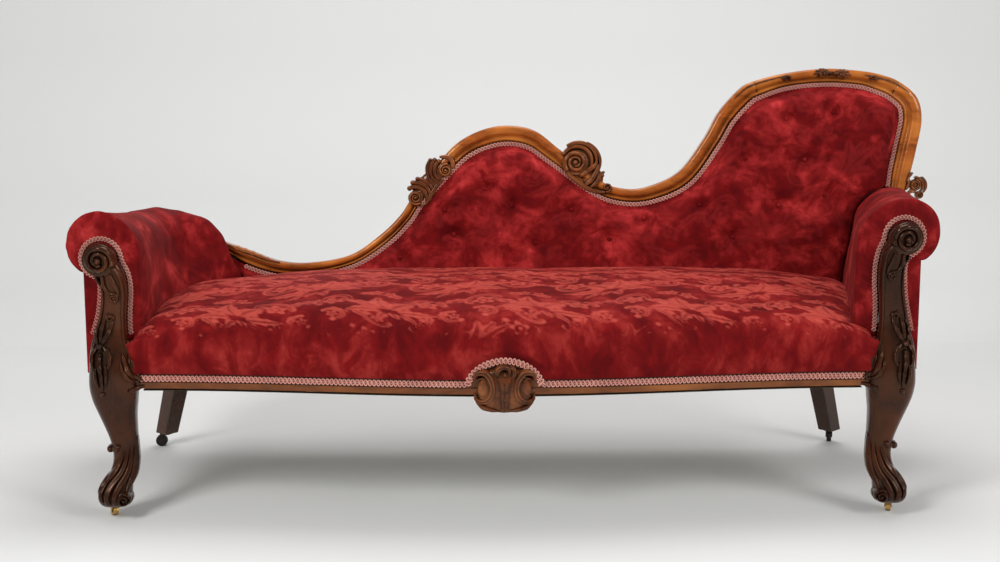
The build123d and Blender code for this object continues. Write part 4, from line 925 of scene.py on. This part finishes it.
def leaf_figure(across, up):
    """How far inside the woven figure a point lies, in units of 4 mm and below zero outside it. The
    repeat is folded about its middle. A leaf is a bent strip whose half width is a sine of its length
    with scalloped edges and a thin vein; a scroll is two rings over part of a turn, with a ball at
    each end; a flower is a scalloped disc with a ring cut in it. Sine waves of the repeat's own size
    bend the whole figure."""
    sway = 26 * np.sin(2 * math.pi * up / FIGURE_HIGH)
    up = up + 24 * np.sin(2 * math.pi * across / FIGURE_WIDE)
    across = np.abs((across + sway + FIGURE_WIDE / 2) % FIGURE_WIDE - FIGURE_WIDE / 2)
    best = np.full(np.shape(across), -9.0)

    def away(v):
        return (up - v + FIGURE_HIGH / 2) % FIGURE_HIGH - FIGURE_HIGH / 2

    for u, v, direction, long, wide, curl, lobes in LEAVES:
        du, dv = across - u, away(v)
        c, s = math.cos(math.radians(direction)), math.sin(math.radians(direction))
        t = (du * c + dv * s) / long
        aside = np.abs(dv * c - du * s + curl * long * t**2)
        inside = np.clip(t, 0, 1)
        scallop = 1 - 0.30 * np.abs(np.cos(math.pi * lobes * inside))
        half = wide / 2 * np.sin(math.pi * inside**0.75) * scallop
        depth = np.minimum(half - aside, aside - 1.2 + 4.0 * np.maximum(inside - 0.75, 0))
        best = np.maximum(best, np.where((t > 0) & (t < 1), depth, -9))
    for u, v, radius, first, last in SCROLLS:
        du, dv = across - u, away(v)
        reach = np.hypot(du, dv)
        turned = (np.degrees(np.arctan2(dv, du)) - first) % 360 / (last - first)
        band = np.maximum(5.0 * (1.1 - turned) - np.abs(reach - radius), 2.2 - np.abs(reach - 0.76 * radius))
        best = np.maximum(best, np.where(turned < 1, band, -9))
        for angle, size in ((math.radians(first), 4), (math.radians(last), 8)):
            ball_u, ball_v = 0.9 * radius * math.cos(angle), 0.9 * radius * math.sin(angle)
            best = np.maximum(best, size - np.hypot(du - ball_u, dv - ball_v))
    for u, v, radius in FLOWERS:
        du, dv = across - u, away(v)
        reach, angle = np.hypot(du, dv), np.arctan2(dv, du)
        petals = radius * (1 + 0.22 * np.cos(5 * angle)) - reach
        best = np.maximum(best, np.minimum(petals, np.abs(reach - 0.4 * radius) - 1.2))
    return best / 4


def weave_in(piece, across, up, sheen_fade=0.0):
    """Keeps the woven figure on the piece's points, less a fade that takes its painted sheen away where the
    cloth turns down from the seat's top.
    """
    values = (np.clip(leaf_figure(across, up), -1.5, 1.5) - sheen_fade).astype(np.float32)
    piece.data.attributes.new("figure", "FLOAT", "POINT").data.foreach_set("value", values.ravel())


def points_of(piece):
    """A piece's points as an array in millimetres."""
    flat = np.empty(3 * len(piece.data.vertices))
    piece.data.vertices.foreach_get("co", flat)
    return flat.reshape(-1, 3) * 1000


def put_points(piece, points):
    """Moves a piece's points."""
    piece.data.vertices.foreach_set("co", (points / 1000).ravel())
    piece.data.update()


def baked(piece):
    """Makes a piece's modifiers part of its mesh."""
    mesh = bpy.data.meshes.new_from_object(piece.evaluated_get(bpy.context.evaluated_depsgraph_get()))
    piece.modifiers.clear()
    piece.data = mesh
    mesh.polygons.foreach_set("use_smooth", np.ones(len(mesh.polygons), bool))


def upholstered(name, node_name, voxel, rounds):
    """A padded form as an even skin: the frame's solid is copied and merged, made into even faces of
    one voxel, and smoothed by rounds of averaging."""
    piece = bpy.data.objects.new(name, parts[node_name].data.copy())
    scene.collection.objects.link(piece)
    outward(piece)
    remesh = piece.modifiers.new("even_faces", "REMESH")
    remesh.mode, remesh.voxel_size = "VOXEL", voxel / 1000
    smooth = piece.modifiers.new("soften", "SMOOTH")
    smooth.factor, smooth.iterations = 0.5, rounds
    baked(piece)
    piece.data.materials.clear()
    return piece


def swell(piece, pressure, cap, where):
    """Blows a closed form up a little as stuffing does: cloth under pressure with no weight, and no
    point further from its start than cap times where."""
    rest = points_of(piece)
    cloth = piece.modifiers.new("stuffing", "CLOTH")
    cloth.settings.use_pressure = True
    cloth.settings.uniform_pressure_force = pressure
    cloth.settings.effector_weights.gravity = 0
    cloth.settings.tension_stiffness = 12
    cloth.settings.compression_stiffness = 12
    cloth.settings.quality = 4
    cloth.collision_settings.use_collision = False
    for moment in range(1, 21):
        scene.frame_set(moment)
    moved = points_of(piece.evaluated_get(bpy.context.evaluated_depsgraph_get())) - rest
    piece.modifiers.clear()
    scene.frame_set(1)
    far = np.linalg.norm(moved, axis=1, keepdims=True)
    limit = cap * np.asarray(where).reshape(-1, 1)
    put_points(piece, rest + moved * np.minimum(1, limit / np.maximum(far, 1e-6)))


# --- Seat cover ---
# The velvet runs in one piece from the back, over a crowned stuffed top and a soft front roll,
# and down to the rail, where it is tacked under the braid.

# (x, y, turn in degrees, height and radius of the roll, how far in the wall stands at its shoulder
# and at its foot) along each arm
ARM_PATHS = {
    "left": [
        (-900, -255.7, 0, 596, 70, 84, 84), (-900, -70, 0, 573, 64, 86, 108),
        (-899, 60, 6, 558, 59, 90, 146), (-889, 160, 25, 551, 56, 88, 166),
        (-855, 238, 40, 547, 54, 84, 174), (-806, 262, 49, 541, 49, 74, 147),
        (-754, 262, 57, 530, 43, 60, 100), (-720, 257, 62, 502, 35, 40, 59),
        (-695, 252, 70, 466, 28, 26, 30), (-664, 250, 90, 424, 20, 17, 19),
    ],
    "right": [(808, -255.7, 0, 617, 71, 108, 108), (906, 300, 0, 585, 51, 88, 125)],
}
ARM_FRONT = -256
SEAT_HALF = 784
CLEAR = 0.8


def arm_wall(name, y, z):
    """Where an arm's inner wall stands at points (y, z): a line in plan through its sections, each
    between its foot and its shoulder."""
    side = SIDES[name]
    x0, y0, turned, roll, radius, shoulder, foot = np.array(ARM_PATHS[name], float).T
    angle = np.radians(turned)
    shoulder_z = roll - 0.5 * radius
    walls = []
    for level in (374.0, 474.0):
        wide = foot + (shoulder - foot) * np.clip((level - 374.3) / (shoulder_z - 374.3), 0, 1)
        walls.append(np.interp(y, y0 - wide * np.sin(angle), x0 - side * wide * np.cos(angle)))
    return walls[0] + (walls[1] - walls[0]) * np.clip((z - 374) / 100, 0, 1)


def arc(start, middle, end, count):
    """Points on the curve from start to end that passes through middle: a parabola in two parts."""
    share = np.linspace(0, 1, count)[:, None]
    start, middle, end = (np.asarray(p, float) for p in (start, middle, end))
    bend = 2 * middle - (start + end) / 2
    return (1 - share) ** 2 * start + 2 * share * (1 - share) * bend + share**2 * end


def seat_ring():
    """The seat's section in three runs of (depth, height): the crowned top by shares of its depth, a
    superellipse quarter for the roll and face behind the rail's face, and the hidden underside."""
    share = np.linspace(1, 0, 165)
    top = np.stack([share, 460 + 12 * np.sin(math.pi * share**0.8) - 12 * share**3], -1)
    turn = np.linspace(math.pi / 2, 0, 42)[1:]
    roll = np.stack([104 - 125 * np.cos(turn) ** 0.66, 384 + 76 * np.sin(turn) ** 0.82], -1)
    face = arc((-21, 384), (-20.5, 350), (-9, 321), 20)[1:]
    foot = np.array([[-4, 319.5], [6, 321], [7, 346], [8, 374.6], [12, 375.2]])
    under = np.stack([np.linspace(0.02, 1, 24), np.full(24, 375.4)], -1)
    return top, np.vstack([roll, face, foot]), np.vstack([under, [[1, 410.0]]])


across = np.concatenate([[-1, -0.998], np.linspace(-0.994, 0.994, 470), [0.998, 1]])
top, front, under = seat_ring()
rail_y = bow(across * SEAT_HALF)[:, None]
rear_y = BACK_FOOT_Y + top[0, 1] * math.tan(BACK_LEAN) - 35.3 / math.cos(BACK_LEAN)
y_top = rail_y + 104 + top[:, 0] * (rear_y - rail_y - 104)
y_front = rail_y + front[:, 0]
y_under = rail_y + 12 + under[:, 0] * (rear_y - 6 - rail_y - 12)
y = np.concatenate([y_top, y_front, y_under], axis=1)
z = np.broadcast_to(np.concatenate([top[:, 1], front[:, 1], under[:, 1]]), y.shape).copy()
# Between the arms the seat's ends lie on their walls. Before the arms they widen to the leg planks.
LEFT_END, RIGHT_END = CENTRE_X - SEAT_HALF, CENTRE_X + SEAT_HALF
behind = np.maximum(y, ARM_FRONT)
ease = np.clip((ARM_FRONT - 0.5 - y) / 16, 0, 1)
ease = ease * ease * (3 - 2 * ease)
left = np.where(y < ARM_FRONT, LEFT_END, arm_wall("left", y, z) + CLEAR)
left = np.maximum(np.minimum(left, arm_wall("left", behind, z) + CLEAR - ease * 30), LEFT_END)
right = arm_wall("right", behind, z) - CLEAR
right = right + (RIGHT_END - right) * ease
x = left + (across[:, None] + 1) / 2 * (right - left)
from_end = np.minimum(x - left, right - x)
bulge = 22 * np.exp(-(((z - 396) / 34) ** 2)) * np.clip((-289 - y) / 6, 0, 1)
bulge = bulge * np.clip(1 - from_end / 90, 0, 1)
x = x + bulge * np.sign(across)[:, None]
# The crown falls away towards both ends, and the front's corners are drawn back.
fall = np.clip(1 - from_end / 52, 0, 1)
upper = np.clip((z - 376) / 60, 0, 1)
away = np.clip(1 - from_end / 420, 0, 1)
z = z + upper * (6 - 34 * away**2 - 13 * fall**2.4)
in_front = np.clip((-200 - y) / 60, 0, 1) * np.clip((z - 322) / 20, 0, 1)
y = y + in_front * 12 * fall**2.6
lumps = np.sin(x / 131 + 1) * np.sin(y / 74 + 0.4) + 0.6 * np.sin(x / 57 + y / 61)
lumps = lumps + 0.4 * np.sin(x / 33 - y / 47 + 2)
z = z + upper * 1.5 * lumps * (1 - fall)
y = y + in_front * (0.9 * np.sin(x / 61 + 0.5) * np.sin(z / 23) + 0.5 * np.sin(x / 27)) * (1 - fall)
# The cloth is pulled in round the cartouche, in two steps: (half width, half height, edge, depth).
for wide, high, edge, depth in ((90, 72, 0.16, -351), (73, 56, 0.06, -341.3)):
    ring = np.hypot((x - CENTRE_X) / wide, (z - 300) / high)
    pull = np.clip((1 + edge - ring) / edge, 0, 1) * (y < -300)
    y = y + (np.maximum(y, depth) - y) * pull
seat = joined("seat_velvet", [np.stack([x, y, z], -1)])
settle(seat, SEAT_VELVET, ["seat_cover"])
x, y, z = points_of(seat).T
# A fade of the figure's painted sheen: none on the seat's top, growing down the front below a height that
# drops towards the ends.
toward_end = np.clip(np.abs(x - CENTRE_X) / 364 - 1, 0, 1)
sheen_fade_down_front = np.clip((446 - 26 * toward_end**2 - z) / 18, 0, 3) * (y < -150)
weave_in(seat, x - 30, y + np.clip(z - 460, -140, 0), sheen_fade=sheen_fade_down_front)


# --- Rail cartouche ---
# A carved shield glued to the middle of the front rail: two C-scrolls back to back round a fluted
# leaf, with a curl at the top.


def on_rail(across, up, out):
    """Points in front of the middle of the front rail."""
    return np.stack(np.broadcast_arrays(CENTRE_X + across, -342.2 - out, up), -1)


angle = np.linspace(0, 2 * math.pi, 57)[:-1]
wide = 62 - 5 * np.cos(2 * angle) - 4 * np.sin(angle) ** 8
shield = [
    np.stack([share * wide * np.cos(angle), 299 + share * 50 * np.sin(angle), np.full_like(angle, out)], -1)
    for share, out in ((0.90, 0), (1.0, 3), (0.98, 8), (0.90, 12), (0.72, 15), (0.45, 17), (0.2, 18))
]
cartouche = [np.stack(shield)]
# (rib, points from the middle, half widths, heights) of the strands on each side
SIDE_STRANDS = [
    (0.3, [(66, 318), (60, 334), (42, 337), (29, 322), (25, 301), (31, 283), (46, 274), (60, 279), (62, 290)],
     (3, 6, 8.5, 8, 7.5, 8.5, 8, 5, 2.5), (13, 20, 25, 26, 26, 25, 22, 17, 13)),
    (0.2, [(56, 322), (44, 324), (38, 312), (36, 299), (42, 288), (54, 288)],
     (2, 4, 4.5, 4.5, 4, 2), (13, 17, 19, 19, 17, 14)),
    (0.2, [(8, 254), (26, 256), (46, 262), (60, 274)], (2, 5, 6, 2), (14, 18, 16, 12)),
    (0.3, [(7, 258), (9, 280), (10, 304), (18, 334)], (2, 4, 4, 3), (18, 22, 23, 18)),
]
for side in SIDES.values():
    for rib, points, half, high in SIDE_STRANDS:
        cartouche.append(line_strand([(side * u, v) for u, v in points], half, high, rib=rib))
top_curl = [(-16, 330), (-15, 343), (-3, 350), (9, 345), (8, 335), (0, 333)]
cartouche += [
    line_strand(
        [(0, 252), (0, 276), (0, 300), (-1, 322)], (3, 4.5, 4.5, 3), (18, 25, 26, 20), lobes=4, rib=0.35,
    ),
    line_strand(top_curl, (5, 7, 7, 5, 3), (20, 26, 26, 23, 22), rib=0.25),
    line_strand([(14, 322), (20, 334), (18, 346), (8, 352)], (3, 6, 6, 3), (18, 23, 20, 14), rib=0.25),
    dome((0, 335), 5.5, 18, 29, 4),
]
settle(joined("cartouche_carved", cartouche, on_rail), CARVED_WOOD, ["rail_cartouche"])


# --- Braid ---
# Salmon gimp glued over the tacks: a flat ground, two thick cords that cross over and over along
# it, and a thin one down its middle.

braid, tree, shader = material(
    "salmon_gimp", 0.75, Sheen_Weight=0.35, Sheen_Roughness=0.5, Sheen_Tint=(1.0, 0.62, 0.55, 1),
)
place = where_on(tree)
threads = cloudy(tree, place, 900, 3)
faded = spread(tree, cloudy(tree, place, 14, 4), 0.35, 0.65)
tone = blend_colour(tree, faded, (0.52, 0.165, 0.125, 1), (0.70, 0.29, 0.22, 1))
tone = blend_colour(tree, spread(tree, threads, 0.35, 0.65, 0.0, 0.35), tone, (0.90, 0.56, 0.47, 1))
# Darker, nearly the velvet's red, between the cords and where the braid meets the cloth and wood, by how
# enclosed each spot is.
darker_where_enclosed = spread(tree, openness(tree, 0.004), 0.25, 0.9, 0.9, 0.0)
tone = blend_colour(tree, darker_where_enclosed, tone, (0.13, 0.018, 0.018, 1))
dress(tree, shader, tone, None, threads, 0.5, 0.0005)


def cord_rings(line, half, high, low):
    """Rings of a thin cord along a line, with a low four-sided round section."""
    over = half * np.array([1, 0.6, -0.6, -1])
    out = np.array([low, high, high, low])
    flat = line[:, None] + sideways(line)[:, None] * over[None, :, None]
    return np.concatenate([flat, np.broadcast_to(out[None, :, None], (*flat.shape[:2], 1))], -1)


def gimp_run(line, wide, pitch):
    """Braid along a flat line as rings of (across, up, out): its ground, two thick cords that cross
    over its whole width as sines half a turn apart, and a thin one down its middle."""
    line, run = evenly(line, pitch / 8)
    side = sideways(line)
    turn = math.pi * run / pitch
    made = [cord_rings(line, wide * 0.34, 1.1, 0.0)]
    for sign in (-1, 1):
        swing = sign * 0.40 * wide * np.sin(turn)
        rise = 0.6 * sign * np.cos(turn)
        cord = cord_rings(line + side * swing[:, None], wide * 0.115, 3.4, 0.4)
        cord[..., 2] += rise[:, None]
        made.append(cord)
    return made + [cord_rings(line, wide * 0.05, 3.6, 1.0)]


def on_rail_face(across, up, out):
    """Points in front of the serpentine rail's face."""
    return np.stack([CENTRE_X + across, bow(across) - 0.4 - out, up], -1)


ARCH_HALF = 79
across = np.linspace(-782, 782, 800)
runs = []
for half in (across < -ARCH_HALF, across > ARCH_HALF):
    runs += gimp_run(np.stack([across[half], np.full(np.count_nonzero(half), 310.0)], -1), 16, 9)
settle(joined("seat_braid", runs, on_rail_face), braid, ["seat_gimp"])
turn = np.radians(np.linspace(171, 9, 120))
arch = np.stack([ARCH_HALF * np.cos(turn), 299.5 + 62.5 * np.sin(turn)], -1)
settle(joined("arch_braid", gimp_run(arch, 16, 9), lambda u, v, w: on_rail(u, v, w + 9.2)), braid)


# --- Back cover ---
# The velvet of the back is laid in the rebate of the polished rails over a low stuffed crown,
# and drawn in by a scatter of small buttons that pull short creases round them.

TUFTS = np.array([
    (638, 806), (752, 820), (541, 711), (684, 708), (299, 568), (432, 600), (622, 600),
    (733, 622), (512, 523), (39, 510), (216, 519), (-82, 640), (125, 590), (-18, 600),
    (-156, 532), (-177, 590), (-285, 476),
], float)
BUTTON_OUT = 27.6

back = upholstered("back_velvet", "back_cover", 5.0, 9)
rise_y, rise_z = math.sin(BACK_LEAN), math.cos(BACK_LEAN)
lean = np.array([[1, 0, 0], [0, rise_y, rise_z], [0, -rise_z, rise_y]])
foot = (0, BACK_FOOT_Y, 0)
flat = (points_of(back) - foot) @ lean.T
held = np.min([np.hypot(flat[:, 0] - x, flat[:, 1] - s) for x, s in TUFTS], axis=0)
swell(back, 4, 7, np.clip((flat[:, 2] - 6) / 20, 0, 1) * (1 - np.exp(-((held / 32) ** 2))))
flat = (points_of(back) - foot) @ lean.T
face = np.clip((flat[:, 2] - 14) / 12, 0, 1)
sink = np.zeros(len(flat))
for i, (x, s) in enumerate(TUFTS):
    du, dv = flat[:, 0] - x, flat[:, 1] - s
    reach, angle = np.hypot(du, dv), np.arctan2(dv, du)
    sink += 3.0 * np.exp(-((reach / 17) ** 2)) + 1.9 * np.exp(-reach / 26)
    sink += 1.5 * np.exp(-(((reach - 20) / 20) ** 2)) * np.abs(np.cos(2.5 * angle + i)) ** 6
puckers = 0.9 * np.sin(flat[:, 0] / 37 + flat[:, 1] / 51) * np.sin(flat[:, 1] / 43 + 1)
flat[:, 2] -= face * (sink + puckers * np.exp(-sink))
put_points(back, flat @ lean + foot)
settle(back, BACK_VELVET, ["back_cover"])
weave_in(back, flat[:, 0] + 40, flat[:, 1] + 90)

buttons = [dome((x, s), 5.0, BUTTON_OUT - 1.2, BUTTON_OUT + 2.2, 1.2) for x, s in TUFTS]
settle(joined("velvet_buttons", buttons, on_back), ARM_VELVET, ["back_buttons"])

# The braid follows the rails inside their inner edge, without the points that turn back at a corner.
line, inward = edge_line(0, 31, 4)
run = line[:, :2] + inward * (line[:, 2:3] + 6.0)
onward = np.sum(np.diff(run, axis=0) * np.diff(line[:, :2], axis=0), axis=1) > 0
run = run[np.concatenate([[True], onward])]
run = run[run[:, 0] > -662]
past_middle = np.arange(len(run)) > len(run) // 2
run = run[~(past_middle & (run[:, 1] < 622) & (run[:, 0] > 850))]
back_braid = joined("back_braid", gimp_run(run, 11, 8), lambda u, v, w: on_back(u, v, w - 1.4))
settle(back_braid, braid, ["back_gimp"])


# --- Arms ---
# Stuffed walls with a rolled top: the foot arm turns in a curve behind the seat and dies away
# along the foot rail, the head arm runs straight back. Braid follows the facings.

for name, fill in (("left", 0.85), ("right", 0.9)):
    arm = upholstered(f"arm_velvet_{name}", f"arm_cover_{name}", 5.0, 12)
    where = points_of(arm)
    visible = np.clip((where[:, 2] - 400) / 40, 0, 1) * np.clip((where[:, 1] + 250) / 40, 0, 1)
    swell(arm, 4, 5, visible)
    where = points_of(arm)
    ripple = np.sin(where[:, 1] / 29 + where[:, 2] / 47) * np.sin(where[:, 0] / 38 + 1)
    ripple += 0.5 * np.sin(where[:, 2] / 15 + where[:, 1] / 60)
    where += visible[:, None] * ripple[:, None] * np.array([0.9, 0, 0.9])
    if name == "left":
        dent = np.exp(-(((where[:, 1] - 30) / 26) ** 2) - ((where[:, 2] - 515) / 26) ** 2)
        where[:, 0] -= 6 * dent * (where[:, 0] > -860)
    put_points(arm, where)
    settle(arm, ARM_VELVET, [f"arm_cover_{name}"])
    weave_in(arm, where[:, 1], where[:, 2] + 0.6 * where[:, 0])

for name, side in SIDES.items():
    vz = VOLUTE_Z[name]
    rows = leg_rows(name)
    levels = np.linspace(402, vz - 18, 40)
    inner = np.stack([np.interp(levels, rows[:, 0], rows[:, 1]) - 5.5, levels], -1)
    outer = np.stack([np.interp(levels, rows[:, 0], rows[:, 2]) + 5.5, levels], -1)
    loop = round_line((849, vz), 43, np.radians(np.linspace(190, -50, 60)))
    inner[:, 0] = np.minimum(inner[:, 0], 806)
    outer = outer[outer[:, 1] < vz - 42]
    whole = evenly(np.concatenate([inner, loop, outer[::-1]]), 2)[0]
    for _ in range(40):
        whole[1:-1] = (whole[:-2] + 2 * whole[1:-1] + whole[2:]) / 4
    arm_braid = joined(
        f"arm_braid_{name}", gimp_run(whole, 11, 7.5),
        lambda u, v, w: np.stack([CENTRE_X + side * u, ARM_FRONT - 0.2 - 0.95 * w, v], -1),
    )
    settle(arm_braid, braid, [f"arm_gimp_{name}"])
    # A strip of velvet closes the front of the arm outside the facing, up to the roll
    v = np.linspace(318, vz - 30, 76)[:, None]
    share = np.linspace(0, 1, 30)
    edge = np.interp(v, rows[:, 0], rows[:, 2]) - 12
    x = CENTRE_X + side * (edge + share * (886.5 - edge))
    near_y = ARM_FRONT - 0.8 - 1.5 * np.sin(math.pi * share) ** 0.5
    near_face = np.stack(np.broadcast_arrays(x, near_y, v), -1)
    far_face = np.stack(np.broadcast_arrays(x, ARM_FRONT - 0.3, v), -1)
    strip = joined(f"arm_front_velvet_{name}", [np.concatenate([near_face, far_face[:, ::-1]], axis=1)])
    settle(strip, ARM_VELVET)
    weave_in(strip, points_of(strip)[:, 0], points_of(strip)[:, 2])


# --- Outside covers ---
# Plain velvet panels close the back and the ends of the arms, strained over the frame and
# slip-stitched along their edges.

line, inward = edge_line(0, 31, 6)
rim = line[:, :2] + inward * line[:, 2:3] * 0.5
foot_x = np.where(rim[:, 0] < 690, rim[:, 0], 0)
late = np.flatnonzero(rim[:, 0] >= 690)[0]
foot_x[late:] = np.linspace(690, 830, len(rim) - late)
share = np.concatenate([[0, 0.004], np.linspace(0.02, 0.98, 54), [0.996, 1]])
x = foot_x[:, None] + share * (rim[:, :1] - foot_x[:, None])
s = 297 + share * (rim[:, 1:2] - 297)
strain = 0.9 * np.sin(x / 52) * np.sin(s / 67) * np.sin(math.pi * share)
front_face = on_back(x, s, -34.6 + 0 * x)
back_face = on_back(x, s, -36.2 + strain * 0.8)
panel = cloth_sheet(
    "outside_back_velvet", front_face, back_face, OUTSIDE_VELVET, "velvet", "outside_back",
    "back_uprights", "back_rail",
)
weave_in(panel, points_of(panel)[:, 0], points_of(panel)[:, 2])
for name in SIDES:
    panel = upholstered(f"outside_arm_velvet_{name}", f"outside_arm_{name}", 2.6, 4)
    settle(panel, OUTSIDE_VELVET, [f"outside_arm_{name}"])
    weave_in(panel, points_of(panel)[:, 1], points_of(panel)[:, 2])
